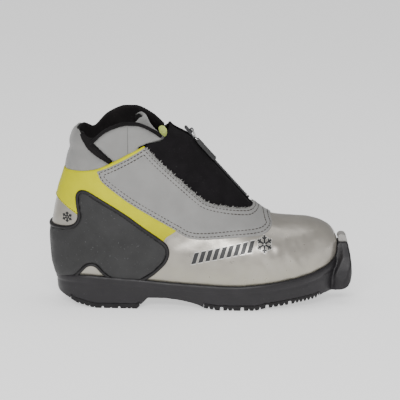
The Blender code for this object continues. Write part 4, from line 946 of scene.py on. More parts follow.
def make_overlay():
    """The matte grey panel round the throat, with two rows of stitches."""
    overlay = part_of(IN_OVERLAY)
    depth = overlay.values["depth"]
    first, second = (0.34 * np.exp(-((depth - level) / 0.75)**2) for level in STITCH_DEPTHS)
    swell = 0.5 * np.clip(depth / 16, 0, 1) * bumpy(overlay.points, 20.0, 6)
    swell += 0.14 * bumpy(overlay.points, 6.0, 7)
    top = -0.1 + rolled(depth, 1.9, 1.5) - (first + second) + swell
    piece = shell("grey_throat_overlay", overlay, top, PANEL_FOOT, MATTE, "grey_overlay")
    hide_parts("throat_overlay")
    for number, level in enumerate(STITCH_DEPTHS, 1):
        stitches("overlay_stitches_%d" % number, level_lines(overlay, level), pitch=3.3, length=2.6,
                 radius=0.45, lift=1.5, look=THREAD, slot="grey_overlay")
    make_frayed_edge(overlay)


def make_frayed_edge(overlay):
    """Short loose fibres along the overlay's cut edge at the throat."""
    rim = level_lines(overlay, 0.35)
    draw = random.Random(7)
    points = []
    faces = []
    for line in rim:
        flat = np.stack([line[:, 0], line[:, 2]], 1)
        near = np.abs(depth_inside(throat_outline, flat)) < 1.2
        for place in line[near]:
            if place[2] > 150 or draw.random() < 0.12:
                continue
            outward = place[3:] / np.linalg.norm(place[3:])
            into = np.array((draw.uniform(0.2, 1.0), 0, draw.uniform(0.3, 1.0)))
            into -= outward * (into @ outward)
            into /= np.linalg.norm(into)
            side = np.cross(outward, into)
            reach = draw.uniform(0.5, 1.7) + (1.3 if draw.random() < 0.18 else 0.0)
            lean = draw.uniform(-1.1, 1.1)
            root = place[:3] + outward * 1.0
            tip = root + into * reach + side * lean + outward * draw.uniform(-0.5, 0.5)
            start = len(points)
            for spot, size in ((root, 0.36), (tip, 0.14)):
                points += [spot + side * size, spot - side * size * 0.5 + outward * size,
                           spot - outward * size]
            faces += [[start, start + 2, start + 1], [start + 3, start + 4, start + 5]]
            faces += [[start + a, start + b, start + 3 + b, start + 3 + a]
                      for a, b in ((0, 1), (1, 2), (2, 0))]
    fray = make_object("overlay_frayed_edge", points, faces, FIBRE, slot="grey_overlay", smooth=False)
    point_outward(fray)


def make_counter():
    """The moulded heel cup, with piping along its edge and its windows."""
    edge = PIPING_WIDTH / 2
    cup = part_of(IN_COUNTER - edge + 0.4, -IN_WINDOW - edge + 0.4, OVER_FEATHER + 3.5)
    depth = cup.values["depth"]
    top = rolled(depth, 1.5, 1.2) + 0.5 * np.clip((depth - 1) / 9, 0, 1) + 0.08 * bumpy(cup.points, 9.0, 8)
    piece = shell("moulded_heel_counter", cup, top, PANEL_FOOT, COUNTER_GREY, "counter_shell")
    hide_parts("heel_counter")
    around = part_of(OVER_FEATHER + PIPING_FOOT, edge=IN_COUNTER)
    piece = bead("counter_edge_piping", level_lines(around, 0, "edge"), 1.75, 0.75)
    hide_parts("counter_piping")
    for side, place in (("lateral", -Y), ("medial", Y)):
        around = part_of(place, OVER_FEATHER + PIPING_FOOT, edge=IN_WINDOW)
        piece = bead("window_edge_piping_" + side, level_lines(around, 0, "edge"), 1.55, 0.65)
        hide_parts("window_piping_" + side)


def bead(name, lines, radius, lift):
    """Round piping along the longest of some lines on the form."""
    line = max(lines, key=len)
    places = line[:, :3] + lift * line[:, 3:]
    closed = np.linalg.norm(line[0, :3] - line[-1, :3]) < 0.01
    if closed:
        places = places[:-1]
    steps = np.linalg.norm(np.diff(places, axis=0), axis=1)
    travel = np.concatenate([[0], np.cumsum(steps)])
    even = np.linspace(0, travel[-1], int(travel[-1] / 0.8))
    places = np.stack([np.interp(even, travel, column) for column in places.T], 1)
    for _ in range(5):
        places[1:-1] = places[1:-1] * 0.5 + (places[:-2] + places[2:]) * 0.25
    return tube(name, places, radius, PIPING_BLACK, "black_piping", closed=closed, sides=12)


# ====================================================================== collar
def pad_from(name, sheet, top, bottom, held_width, cap, replaced):
    """A pad cut from the form, blown up with cloth between its held edges."""
    piece = shell(name, sheet, top, bottom, PADDING, "grey_padding", sharp=75)
    depth = np.tile(sheet.values["depth"], 2)
    inner_face = np.arange(len(depth)) >= len(sheet.points)
    inflate(piece, (depth < held_width) | inner_face, cap)
    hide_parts(replaced)
    return piece


def thinned(sheet_fields, step):
    """The same cut from a coarser copy of the form, for pads that are blown up."""
    rows = np.unique(np.append(np.arange(0, ROWS, step), ROWS - 1))
    columns = np.arange(0, AROUND, step)
    index = (rows[:-1, None] * AROUND + columns).reshape(-1)
    count = len(columns)
    row, column = np.meshgrid(np.arange(len(rows) - 2), np.arange(count), indexing="ij")
    a = row * count + column
    b = row * count + (column + 1) % count
    c, d = b + count, a + count
    faces = np.concatenate([np.stack([a, b, c], -1).reshape(-1, 3), np.stack([a, c, d], -1).reshape(-1, 3)])
    points, outward = FORM.points[index], FORM.outward[index]
    faces = facing_out(points, outward, faces, len(faces) // 3)
    return Sheet(points, outward, faces, {}).cut(np.minimum.reduce(sheet_fields)[index])


def make_rear_collar():
    """The pad round the back of the collar."""
    pad = thinned((IN_REAR, 2.5 - UNDER_BAND_TOP), 2)
    depth = pad.values["depth"]
    top = -2.6 + rolled(depth, 2.8, 4.0) + 0.9 * np.clip(depth / 12, 0, 1)
    height = pad.points[:, 2]
    back = np.clip((-98 - pad.points[:, 0]) / 14, 0, 1)
    top += back * (0.9 * np.exp(-((height - 130) / 7)**2) - 1.9 * np.exp(-((height - 143.5) / 4.5)**2))
    pad_from("rear_collar_pad", pad, top, PAD_INSIDE, held_width=1.5, cap=2.2,
             replaced="rear_collar")


def make_wings():
    """The collar's side pads with their binding, and the stretch fabric behind them."""
    for side, place in (("lateral", -Y - 8), ("medial", Y - 8)):
        pad = thinned((place, IN_WING, 2.5 - UNDER_BAND_TOP), 2)
        depth = pad.values["depth"]
        low = pad.points[:, 2] - height_of(BAND_TOP, pad.points[:, 0])
        tuck = np.clip((5 - low) / 5, 0, 1)
        top = -2.0 + rolled(depth, 2.2, 3.5) + 0.9 * np.clip(depth / 10, 0, 1) * (1 - tuck)
        groove = 0.7 * np.exp(-((pad.points[:, 0] - WING_SEAM_X) / 1.3)**2) * np.clip(depth / 4, 0, 1)
        creases = 0.35 * np.clip((14 - low) / 14, 0, 1) * bumpy(pad.points * (1.0, 0.5, 1.7), 9.0, 9)
        piece = pad_from("collar_wing_pad_" + side, pad, top - groove + creases, PAD_INSIDE,
                         held_width=1.5, cap=1.8, replaced="collar_wing_" + side)
        make_wing_seam(side, piece)
        foot = OVER_BINDING_FOOT - 2.4 * np.clip((X + 64) / 4, 0, 1)
        edge = part_of(place, foot, -IN_WING + 0.8, IN_WING + 2.6, -IN_THROAT - 0.3)
        across = np.clip(edge.values["depth"] / 1.6, 0, 1)
        round_over = np.sqrt(1 - (1 - across)**2)
        piece = shell("wing_edge_binding_" + side, edge, -2.4 + 3.3 * round_over, -2.6 - 2.2 * round_over,
                      TEXTILE, "black_textile", sharp=75)
        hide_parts("wing_binding_" + side)
        gusset = part_of(place, -IN_REAR + 1.2, -IN_WING - 1.8, UNDER_GUSSET_TOP, 2.0 - UNDER_BAND_TOP,
                         X - GUSSET_X[0], GUSSET_X[1] - X)
        top = -2.2 + rolled(gusset.values["depth"], 0.5, 1.2) + 0.25 * bumpy(gusset.points, 6.0, 10)
        piece = shell("stretch_gusset_" + side, gusset, top, -3.2, LINING_BLACK, "black_textile")
        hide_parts("gusset_" + side)


def make_wing_seam(side, pad):
    """The seam that runs straight down the wing, as a fine thread in its groove."""
    tree = surface_tree(pad)
    sign = -1 if side == "lateral" else 1
    line = []
    for z in np.arange(143.0, 167.5, 0.8):
        hit = tree.ray_cast(Vector((WING_SEAM_X * MM, sign * 0.08, z * MM)), Vector((0, -sign, 0)))[0]
        if hit and hit.y * sign > 0.02:
            line.append(np.array(hit) / MM)
    if len(line) > 4:
        tube("wing_seam_" + side, line, 0.22, SEAM, "grey_padding", sides=6)


def surface_tree(piece):
    """A ray caster for a piece's final surface."""
    view = bpy.context.evaluated_depsgraph_get()
    view.update()
    return BVHTree.FromObject(piece, view)


def make_lining():
    """The lining and the footbed."""
    lining = part_of(UNDER_LINING_TOP + 0.6, -IN_THROAT - 1.5)
    depth = lining.values["depth"]
    near_top = np.clip(1 - depth / 2.2, 0, 1)
    top = -2.9 - 0.5 * near_top**2 + 0.1 * bumpy(lining.points, 8.0, 11)
    soft = 0.6 * np.clip((lining.points[:, 2] - 90) / 40, 0, 1) * bumpy(lining.points, 14.0, 12)
    bottom = -6.0 + 0.8 * near_top**2 + soft
    piece = shell("black_lining", lining, top, np.minimum(bottom, top - 0.8), LINING_BLACK, "black_lining")
    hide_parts("lining")
    bed = part_of(FOOTBED_UP - OVER_FEATHER)
    bottom = -9.2 - rolled(bed.values["depth"], 0.6, 2.0)
    piece = shell("soft_footbed", bed, -6.4, bottom, FOAM, "footbed_foam")
    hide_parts("footbed")


# ============================================================= tongue and covers
def tongue_grid():
    """Grid and outward directions of the tongue, drawn in from the form."""
    stations = np.array(SECTIONS[:len(TONGUE_SHARE)], float)
    middle = stations[:, 2:4] + (stations[:, 0:2] - stations[:, 2:4]) * stations[:, 5:6]
    share = np.array(TONGUE_SHARE)[:, None]
    ridge = middle + (stations[:, 0:2] - middle) * share
    half = stations[:, 4] - TONGUE_SIDE_GAP
    table = smooth_line(np.column_stack([ridge, middle, half]), 5)
    angles = np.linspace(-TONGUE_HALF_ANGLE, TONGUE_HALF_ANGLE, 35)
    reach, side = np.cos(angles), np.sin(angles)
    x = table[:, 2:3] + (table[:, 0:1] - table[:, 2:3]) * reach
    y = table[:, 4:5] * side
    z = table[:, 3:4] + (table[:, 1:2] - table[:, 3:4]) * reach
    points = np.stack([x, y, z], -1)
    outward = np.cross(np.gradient(points, axis=1), np.gradient(points, axis=0))
    outward /= np.linalg.norm(outward, axis=2, keepdims=True)
    middle_row = outward[len(table) // 4, len(angles) // 2]
    return points, outward if middle_row[0] > 0 else -outward


def make_tongue():
    """The padded tongue and its lining."""
    points, outward = tongue_grid()
    rows, across = points.shape[:2]
    row, column = np.meshgrid(np.arange(rows - 1), np.arange(across - 1), indexing="ij")
    a = row * across + column
    faces = np.concatenate([np.stack([a, a + 1, a + across + 1], -1).reshape(-1, 3),
                            np.stack([a, a + across + 1, a + across], -1).reshape(-1, 3)])
    points, outward = points.reshape(-1, 3), outward.reshape(-1, 3)
    faces = facing_out(points, outward, faces)
    tip = outline(TONGUE_TIP, ((60, TONGUE_TIP[-1][1]), (60, 60)))
    inside = depth_inside(tip, points[:, [0, 2]])
    sheet = Sheet(points, outward, faces, {}).cut(np.minimum(inside, TONGUE_TOP - points[:, 2]))
    rim = rim_edges(sheet.faces).reshape(-1)
    edge = sheet.points[np.unique(rim)]
    depth = np.array([np.sqrt(((edge - place)**2).sum(1)).min() for place in sheet.points])
    sheet.values["depth"] = depth
    top = -1.6 + rolled(depth, 1.6, 3.0)
    pad_from("tongue_pad", sheet, top, -2.2 - rolled(depth, 1.8, 3.0), held_width=1.2, cap=1.5,
             replaced="tongue")
    back = Sheet(sheet.points, sheet.outward, sheet.faces, {}).cut(depth - 1.0)
    inner = rolled(back.values["depth"], 0.6, 2.0)
    shell("tongue_lining", back, -4.0, -4.6 - inner, LINING_BLACK, "black_lining")


def make_tab():
    """The pull tab on the tongue."""
    shape = smooth_line(TONGUE_TAB, 8)[:-1]
    low, high = TONGUE_TAB_Y
    tab = prism("tongue_pull_tab", shape, low, high, TAB_LIME, "pale_lime_tab")
    round_edges(tab, 0.4, angle=35, harden=True)
    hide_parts("tongue_tab")


def make_covers():
    """The stretch covers and the zip tapes on both sides of the zip."""
    for side, sign in (("lateral", -1), ("medial", 1)):
        cover = part_of(sign * Y - TAPE_HALF_WIDTH - GAP, IN_THROAT + 3.4, IN_COVER, -IN_WING - 0.2)
        depth = cover.values["depth"]
        soft = 0.35 * np.clip(depth / 6, 0, 1) * bumpy(cover.points, 13.0, 13)
        top = -0.9 + rolled(depth, 0.6, 1.0) + soft - 0.15
        piece = shell("stretch_cover_" + side, cover, top, -1.9, COVER_BLACK, "black_cover")
        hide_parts("zip_cover_" + side)
        low, high = TEETH_S[0] - 3, TEETH_S[1] + 2
        s = zip_place(FORM.points)
        near = np.where(Z > 60, 1.0, -50.0)
        tape = part_of(sign * Y - 0.1, TAPE_HALF_WIDTH - np.abs(Y), np.minimum(s - low, high - s) * near)
        piece = shell("woven_zip_tape_" + side, tape, -0.35, -1.5, TEXTILE, "black_textile")
        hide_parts("zip_tape_" + side)


# ========================================================================= zip
def zip_axes():
    """Unit vectors of s (down the zip) and v (out from the boot), as (x, z)."""
    run = np.array(ZIP_END) - np.array(ZIP_START)
    down = run / np.linalg.norm(run)
    return down, np.array((-down[1], down[0]))


def zip_place(points):
    """How far down the zip each point lies."""
    down, _ = zip_axes()
    return (points[:, [0, 2]] - np.array(ZIP_START)) @ down


def zip_point(s, v, y):
    """The (x, y, z) point at a place on the zip."""
    down, out = zip_axes()
    x, z = np.array(ZIP_START) + s * down + v * out
    return (float(x), float(y), float(z))


def zip_outline(shape):
    """The (x, z) points of an outline that is given as (s, v)."""
    return [zip_point(s, v, 0)[::2] for s, v in shape]


def round_outline(s, v, radius, count):
    """A circle on the zip, as (x, z) points."""
    return zip_outline([(s + radius * math.cos(angle), v + radius * math.sin(angle))
                        for angle in np.linspace(0, 2 * math.pi, count, endpoint=False)])


def cut_across(piece, shape, low, high):
    """Cut an (s, y) outline out of a piece, from v low to v high."""
    rings = [[zip_point(s, v, y) for s, y in shape] for v in (low, high)]
    combine(piece, scratch_rings(rings), "DIFFERENCE")


def finish_moulding(piece, width, node):
    """Shade a cut piece, round its edges and let it stand for its node."""
    smooth_shading(piece, 30)
    round_edges(piece, width)
    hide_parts(node)


def joined(name, parts, look, slot, body="boot"):
    """One mesh object from lists of (points, faces)."""
    points = []
    faces = []
    for part_points, part_faces in parts:
        start = len(points)
        points += list(part_points)
        faces += [[corner + start for corner in face] for face in part_faces]
    piece = make_object(name, points, faces, look, body, slot, sharp=40)
    point_outward(piece)
    return piece


def block_at(s, v, y, sizes, slope=0.0):
    """A tapered block on the zip: (points, faces), narrower on top by slope."""
    half_s, half_v, half_y = (size / 2 for size in sizes)
    points = []
    for level, scale in ((-1, 1.0), (1, 1.0 - slope)):
        for a, b in ((-1, -1), (1, -1), (1, 1), (-1, 1)):
            points.append(zip_point(s + a * half_s * scale, v + level * half_v, y + b * half_y * scale))
    faces = [[0, 1, 2, 3], [4, 5, 6, 7], [0, 1, 5, 4], [1, 2, 6, 5], [2, 3, 7, 6], [3, 0, 4, 7]]
    return points, faces


def make_zip():
    """The teeth, the stops and the moving parts of the zip."""
    start, end = TEETH_S
    for side, sign, shift in (("lateral", -1, 0.0), ("medial", 1, 0.5)):
        parts = [block_at((start + end) / 2, 0.05, sign * 1.55, (end - start, 0.5, 0.7))]
        for s in np.arange(start + 0.6 + shift * TEETH_PITCH, end - 0.4, TEETH_PITCH):
            parts.append(block_at(s, 0.5, sign * 0.95, (1.15, 1.3, 1.7), 0.25))
            parts.append(block_at(s, 0.5, sign * 0.22, (0.8, 1.1, 0.8), 0.3))
        teeth = joined("zip_coil_" + side, parts, ZIP_BLACK, "zip_plastic")
        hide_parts("zip_teeth_" + side)
        top = joined("zip_top_end_" + side, [block_at(start - 1.1, 0.5, sign * 1.0, (1.6, 1.3, 1.7), 0.2)],
                     ZIP_BLACK, "zip_plastic")
        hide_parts("zip_top_stop_" + side)
    bottom = joined("zip_bottom_end", [block_at(end + 1.2, 0.6, 0, (1.9, 1.4, 3.8), 0.2)],
                    GUNMETAL, "zip_plastic")
    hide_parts("zip_bottom_stop")
    make_slider()
    make_bail()
    make_grip()


def make_slider():
    """The slider's body, with a tunnel, a waist and a crown with an eye."""
    start, end = SLIDER_S
    outer = [(start, 0.3), (start, 1.5), (start + 0.5, 2.1), (start + 1.4, SLIDER_TOP),
             (end - 0.6, SLIDER_TOP), (end, 2.0), (end, 0.3)]
    wide = SLIDER_HALF_WIDTH
    body = prism("slider_body", zip_outline(outer), -wide, wide, GUNMETAL, "gunmetal", "slider")
    roof = TEETH_TOP + 0.35
    tunnel = zip_outline(((start - 2, -1), (end + 2, -1), (end + 2, roof), (start - 2, roof)))
    combine(body, scratch_prism(tunnel, -2.3, 2.3), "DIFFERENCE")
    for sign in (-1, 1):
        waist = [(start - 1, sign * (wide + 2)), (end + 1, sign * (wide + 2)), (end + 1, sign * (wide - 0.2)),
                 (end - 2.6, sign * (wide - 1.2)), (start + 4.4, sign * (wide - 1.1)),
                 (start + 2.2, sign * (wide - 0.1)), (start - 1, sign * (wide + 0.1))]
        cut_across(body, waist, -2, 5)
    crown = [(-2.2, 1.9), (-1.9, CROWN_V + 0.6), (-1.0, CROWN_V + 1.3), (0.8, CROWN_V + 1.3),
             (1.7, CROWN_V + 0.6), (2.1, 1.9)]
    crown = zip_outline([(CROWN_S + s, v) for s, v in crown])
    combine(body, scratch_prism(crown, -1.1, 1.1), "UNION")
    combine(body, scratch_prism(round_outline(CROWN_S, CROWN_V, 0.9, 16), -6, 6), "DIFFERENCE")
    finish_moulding(body, 0.22, "zip_slider")


def make_bail():
    """The bent wire between the slider and the grip."""
    near, far = GRIP_Y - 2.6, GRIP_Y + 2.6
    corners = [(CROWN_S, CROWN_V, 2.1), (CROWN_S, CROWN_V, 0), (CROWN_S, CROWN_V, -2.1),
               (CROWN_S + 1.2, CROWN_V - 0.2, -3.0),
               (GRIP_S - 1.8, GRIP_V + 0.1, near + 0.1), (GRIP_S - 0.3, GRIP_V, near + 0.6),
               (GRIP_S, GRIP_V, GRIP_Y - 1.2), (GRIP_S, GRIP_V, GRIP_Y + 1.2),
               (GRIP_S - 0.3, GRIP_V, far - 0.5), (GRIP_S - 1.8, GRIP_V + 0.3, far + 0.1), (2.0, 3.2, 1.7)]
    ring = smooth_line(corners + corners[:1], 5)[:-1]
    bail = tube("slider_wire_bail", [zip_point(*corner) for corner in ring], BAIL_RADIUS, BRIGHT,
                "bright_wire", "bail", closed=True, sides=12)
    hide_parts("zip_bail")


def make_grip():
    """The ribbed rubber pull grip."""
    low, high = GRIP_V_RANGE
    end = GRIP_S + GRIP_LENGTH - 1.4
    shape = [(GRIP_S - 1.4, GRIP_V - 0.5), (GRIP_S - 0.6, GRIP_V - 1.3), (GRIP_S + 2.4, low),
             (end - 1.0, low), (end, low + 1.0), (end, high - 1.0), (end - 1.0, high)]
    for rib in np.linspace(end - 3.0, GRIP_S + 8.0, 9):
        shape += [(rib + 0.6, high), (rib + 0.35, high - 0.35), (rib - 0.35, high - 0.35), (rib - 0.6, high)]
    shape += [(GRIP_S - 0.2, high), (GRIP_S - 1.4, GRIP_V + 0.6)]
    half = GRIP_WIDTH / 2
    grip = prism("zip_pull_grip", zip_outline(shape), GRIP_Y - half, GRIP_Y + half, GRIP, "grip_rubber",
                 "grip")
    combine(grip, scratch_prism(round_outline(GRIP_S, GRIP_V, 0.85, 14), GRIP_Y - 8, GRIP_Y + 8),
            "DIFFERENCE")
    for sign in (-1, 1):
        notch = ((-4, 1.4), (1.3, 1.4), (4.5, half), (4.5, 6), (-4, 6))
        cut_across(grip, [(GRIP_S + s, GRIP_Y + sign * y) for s, y in notch], -4, 8)
    finish_moulding(grip, 0.3, "pull_grip")


# ========================================================================= sole
# Distance outside the feather line, and height from it, down the side of the sole.
WALL = ((1.2, 14), (2.0, 2.0), (2.3, 0.1), (2.9, -0.6), (3.1, -1.6), (3.0, -4.4), (2.7, -5.4), (2.0, -6.2),
        (1.8, -7.2), (1.9, -8.4), (1.9, -10), (1.5, -14), (0.9, -24), (0.4, -48))
HEEL_INSET = 2.4
# Grid of the outsole's remesh, and the share of its faces that stays.
SOLE_VOXEL = 0.8
SOLE_FACES_KEPT = 0.4


def feather_loop():
    """Outline of the upper at the feather line, evenly spaced."""
    lines = level_lines(Sheet(FORM.points, FORM.outward, FORM.faces, {"depth": -OVER_FEATHER}), 0.0)
    loop = max(lines, key=len)[:, :2]
    if np.linalg.norm(loop[0] - loop[-1]) < 0.5:
        loop = loop[:-1]
    closed = np.concatenate([loop, loop[:1]])
    length = np.concatenate([[0], np.cumsum(np.linalg.norm(np.diff(closed, axis=0), axis=1))])
    places = np.linspace(0, length[-1], 260, endpoint=False)
    loop = np.stack([np.interp(places, length, closed[:, axis]) for axis in (0, 1)], 1)
    for _ in range(6):
        loop = 0.5 * loop + 0.25 * (np.roll(loop, 1, axis=0) + np.roll(loop, -1, axis=0))
    along = np.roll(loop, -1, axis=0) - np.roll(loop, 1, axis=0)
    outward = np.stack([along[:, 1], -along[:, 0]], 1) / np.linalg.norm(along, axis=1, keepdims=True)
    if ((loop - loop.mean(0)) * outward).sum() < 0:
        outward = -outward
    return loop, outward


def wall_cutter(shrink=0.0):
    """Cutter: everything inside the sole's side walls, whatever its height."""
    loop, outward = feather_loop()
    feather = height_of(FEATHER, loop[:, 0])
    inset = HEEL_INSET * np.clip((-112 - loop[:, :1]) / 18, 0, 1)
    points = []
    for offset, drop in WALL:
        ring = loop + outward * (offset - shrink - inset)
        points += [(x, y, z + drop) for (x, y), z in zip(ring, feather)]
    count = len(loop)
    faces = [list(range(count)), list(range(len(points) - 1, len(points) - 1 - count, -1))]
    for level in range(len(WALL) - 1):
        for here in range(count):
            after = (here + 1) % count
            a, b = level * count + here, level * count + after
            faces.append([b, a, a + count, b + count])
    return scratch_object(points, faces)


def bottom_line(start, end, raised=0.0):
    """The sole's underside between two places, as (x, z) points."""
    line = fine_bottom()
    inner = [(x, z + raised) for x, z in line if start < x < end]
    ends = [(x, float(np.interp(x, line[:, 0], line[:, 1])) + raised) for x in (start, end)]
    return [ends[0]] + inner + [ends[1]]


def fine_bottom():
    """The underside's line with many points, for the cuts that follow it."""
    line = np.array(SOLE_BOTTOM, float)
    x = np.unique(np.concatenate([np.linspace(line[0, 0], line[-1, 0], 160), line[:, 0]]))
    return np.stack([x, np.interp(x, line[:, 0], line[:, 1])], 1)


def upper_room():
    """Cutter: the room that the upper takes, closed at the collar."""
    index = np.arange(0, AROUND, 2)
    rows = np.unique(np.append(np.arange(0, ROWS - 1, 2), ROWS - 2))
    points = (FORM.points + FORM.outward * 0.4)[(rows[:, None] * AROUND + index).reshape(-1)]
    tip = (FORM.points + FORM.outward * 0.4)[-1:]
    count = len(index)
    faces = [list(range(count))]
    for start in range(0, (len(rows) - 1) * count, count):
        for here in range(count):
            after = (here + 1) % count
            faces.append([start + here, start + after, start + after + count, start + here + count])
    last = (len(rows) - 1) * count
    faces += [[last + here, last + (here + 1) % count, len(points)] for here in range(count)]
    return scratch_object(np.concatenate([points, tip]), faces)


def block_plan():
    """Cutter: the toe block's outline seen from above, with rounded front corners."""
    front = max(x for x, _ in TOE_BLOCK) + 0.5
    half, corner = TOE_BLOCK_HALF_WIDTH, TOE_BLOCK_CORNER
    taper = ((106, 6.5), (116, 5.6), (120, 3.6), (123.5, 1.4), (127, 0.2))
    shape = [(x, TOE_BLOCK_Y - half + cut) for x, cut in taper]
    for sign, turns in ((-1, range(0, 9)), (1, range(8, -1, -1))):
        for turn in turns:
            angle = math.radians(11.25 * turn)
            shape.append((front - corner + corner * math.sin(angle),
                          TOE_BLOCK_Y + sign * (half - corner + corner * math.cos(angle))))
    shape += [(x, TOE_BLOCK_Y + half - cut) for x, cut in taper[::-1]]
    return scratch_prism(shape, 0, 80, axis="z")


def leaning_scoop(sign):
    """Cutter: the hollow in the block's side, which leans forward as it rises."""
    middle_y = TOE_BLOCK_Y + sign * (TOE_BLOCK_HALF_WIDTH + 5.0)
    angles = np.linspace(0, 2 * math.pi, 40, endpoint=False)
    levels = ((14, 112, 5.0), (20, 113.5, 8.5), (30, 116.5, 10.5), (42, 120.5, 14.5), (55, 124, 18.0))
    return scratch_rings([[(x + reach * math.cos(angle), middle_y + reach * math.sin(angle), z)
                           for angle in angles] for z, x, reach in levels])


def make_outsole():
    """The cup sole and the toe block in one moulding."""
    line = []
    start = SOLE_BOTTOM[0][0] - 8
    for low, high in (HEEL_TREAD_X, FOREFOOT_TREAD_X):
        line += bottom_line(start, low - GAP)
        line += bottom_line(low - GAP, high + GAP, TREAD_THICKNESS)
        start = high + GAP
    line += bottom_line(start, SOLE_BOTTOM[-1][0])
    top = [(float(x), float(z) + 0.9) for x, z in smooth_line(FEATHER, 4)][::-1]
    sole = scratch_prism(line + [(132, 14)] + top, -70, 70)
    combine(sole, wall_cutter(), "INTERSECT")
    block = scratch_prism(TOE_BLOCK, -60, 60)
    combine(block, block_plan(), "INTERSECT")
    sides = [(TOE_BLOCK_Y + half, z) for z, half in TOE_BLOCK_TAPER]
    sides += [(TOE_BLOCK_Y - half, z) for z, half in TOE_BLOCK_TAPER[::-1]]
    combine(block, scratch_prism(sides, 100, 150, axis="x"), "INTERSECT")
    for sign in (-1, 1):
        combine(block, leaning_scoop(sign), "DIFFERENCE")
    combine(sole, block, "UNION")
    combine(sole, upper_room(), "DIFFERENCE")
    y_low, y_high = TOE_BLOCK_Y - PIN_SLOT_HALF_WIDTH, TOE_BLOCK_Y + PIN_SLOT_HALF_WIDTH
    x_low, x_high = PIN_SLOT_X
    slot_box = [(x_low, -5), (x_high, -5), (x_high, PIN_SLOT_TOP), (x_low, PIN_SLOT_TOP)]
    combine(sole, scratch_prism(slot_box, y_low, y_high), "DIFFERENCE")
    remesh = sole.modifiers.new("melt", "REMESH")
    remesh.mode = "VOXEL"
    remesh.voxel_size = SOLE_VOXEL * MM
    ease = sole.modifiers.new("ease", "SMOOTH")
    ease.factor = 0.5
    ease.iterations = 2
    thin = sole.modifiers.new("thin", "DECIMATE")
    thin.ratio = SOLE_FACES_KEPT
    apply_modifiers(sole)
    sole.data.shade_smooth()
    settle(sole, "moulded_outsole", SOLE, "outsole")


def settle(piece, name, look, node):
    """Turn a shape that was cut out with cutters into a visible piece of the sole."""
    piece.name = name
    piece.data.name = name
    piece.data.materials.clear()
    piece.data.materials.append(look)
    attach(piece, "boot")
    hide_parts(node)


def toothed(line, slots, slot, notches, notch):
    """A tread's underside with square slots and fine V notches."""
    width, depth = slot
    flat = np.array(line)

    def ends(middle, wide):
        sides = middle - wide / 2, middle + wide / 2
        return (*sides, [float(np.interp(x, flat[:, 0], flat[:, 1])) for x in sides])

    places = [(x, z) for x, z in line if all(abs(x - middle) > width / 2 for middle in slots)
              and all(abs(x - middle) > notch[0] / 2 for middle in notches)]
    for middle in slots:
        left, right, low = ends(middle, width)
        roof = min(low) + depth
        places += [(left, low[0]), (left + 0.25, roof - 0.4), (left + 0.6, roof), (right - 0.6, roof),
                   (right - 0.25, roof - 0.4), (right, low[1])]
    for middle in notches:
        left, right, low = ends(middle, notch[0])
        places += [(left, low[0]), (middle, max(low) + notch[1]), (right, low[1])]
    return sorted(places)


def make_treads():
    """The two pale-dusted tread pieces with their slots and saw teeth."""
    treads = (("heel_tread", HEEL_TREAD_X, HEEL_SLOTS_X, HEEL_SLOT, HEEL_NOTCHES_X, HEEL_NOTCH),
              ("forefoot_tread", FOREFOOT_TREAD_X, FOREFOOT_SLOTS_X, FOREFOOT_SLOT, FOREFOOT_NOTCHES_X,
               FOREFOOT_NOTCH))
    for name, (start, end), slots, slot, notches, notch in treads:
        line = bottom_line(start, end)
        roof = bottom_line(start, end, TREAD_THICKNESS)
        tread = scratch_prism(toothed(line, slots, slot, notches, notch) + roof[::-1], -70, 70)
        combine(tread, wall_cutter(0.05), "INTERSECT")
        smooth_shading(tread, 28)
        settle(tread, name.split("_")[0] + "_rubber_tread", TREAD, name)


def make_toe_parts():
    """The grey nub on the toe block, and the steel bar across its slot."""
    half = TOE_NUB_HALF_WIDTH
    nub = prism("grey_toe_nub", TOE_NUB, TOE_BLOCK_Y - half, TOE_BLOCK_Y + half, NUB, "nub_grey")
    round_edges(nub, 0.9, segments=3, angle=35, harden=True)
    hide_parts("toe_nub")
    reach = PIN_HALF_LENGTH
    ends = np.linspace(-reach + 0.9, reach - 0.9, 5)
    pin = tube("steel_binding_pin", [(PIN_X, TOE_BLOCK_Y + y, PIN_Z) for y in ends], PIN_RADIUS, STEEL,
               "steel", sides=24)
    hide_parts("binding_pin")


# ========================================================================= marks
# The row of bars: its ends in (x, z), and the size and lean of a bar.
MARK_START = (-8.0, 42.5)
MARK_END = (48.0, 54.5)
BAR_COUNT = 9
BAR_PITCH = 6.4
BAR_WIDTH = 4.3
BAR_HEIGHT = 10.5
BAR_LEAN = (0.30, 0.954)


def decal(name, tree, patches, thick, look, slot, sign=-1):
    """Thin raised layer from four-cornered (x, z) patches laid on the side of the boot: print, and the pale
    rim of painted highlight round it.
    """
    parts = []
    for corners, across, along in patches:
        a, b, c, d = (np.array(corner, float) for corner in corners)
        front = []
        for i in range(along + 1):
            for j in range(across + 1):
                u, v = i / along, j / across
                flat = (a * (1 - u) + b * u) * (1 - v) + (d * (1 - u) + c * u) * v
                hit, normal, _, _ = tree.ray_cast(Vector((flat[0] * MM, sign * 0.1, flat[1] * MM)),
                                                  Vector((0, -sign, 0)))
                if hit is None:
                    break
                front.append((np.array(hit) / MM, np.array(normal)))
            else:
                continue
            break
        if len(front) < (along + 1) * (across + 1):
            continue
        points = [place + outward * lift for lift in (thick, -0.2) for place, outward in front]
        total = len(front)
        wide = across + 1
        faces = []
        rim = {}
        for i in range(along):
            for j in range(across):
                quad = [i * wide + j, (i + 1) * wide + j, (i + 1) * wide + j + 1, i * wide + j + 1]
                faces += [quad, [corner + total for corner in quad[::-1]]]
                for here, after in zip(quad, quad[1:] + quad[:1]):
                    if (after, here) in rim:
                        del rim[after, here]
                    else:
                        rim[here, after] = True
        faces += [[after, here, here + total, after + total] for here, after in rim]
        parts.append((points, faces))
    return joined(name, parts, look, slot)


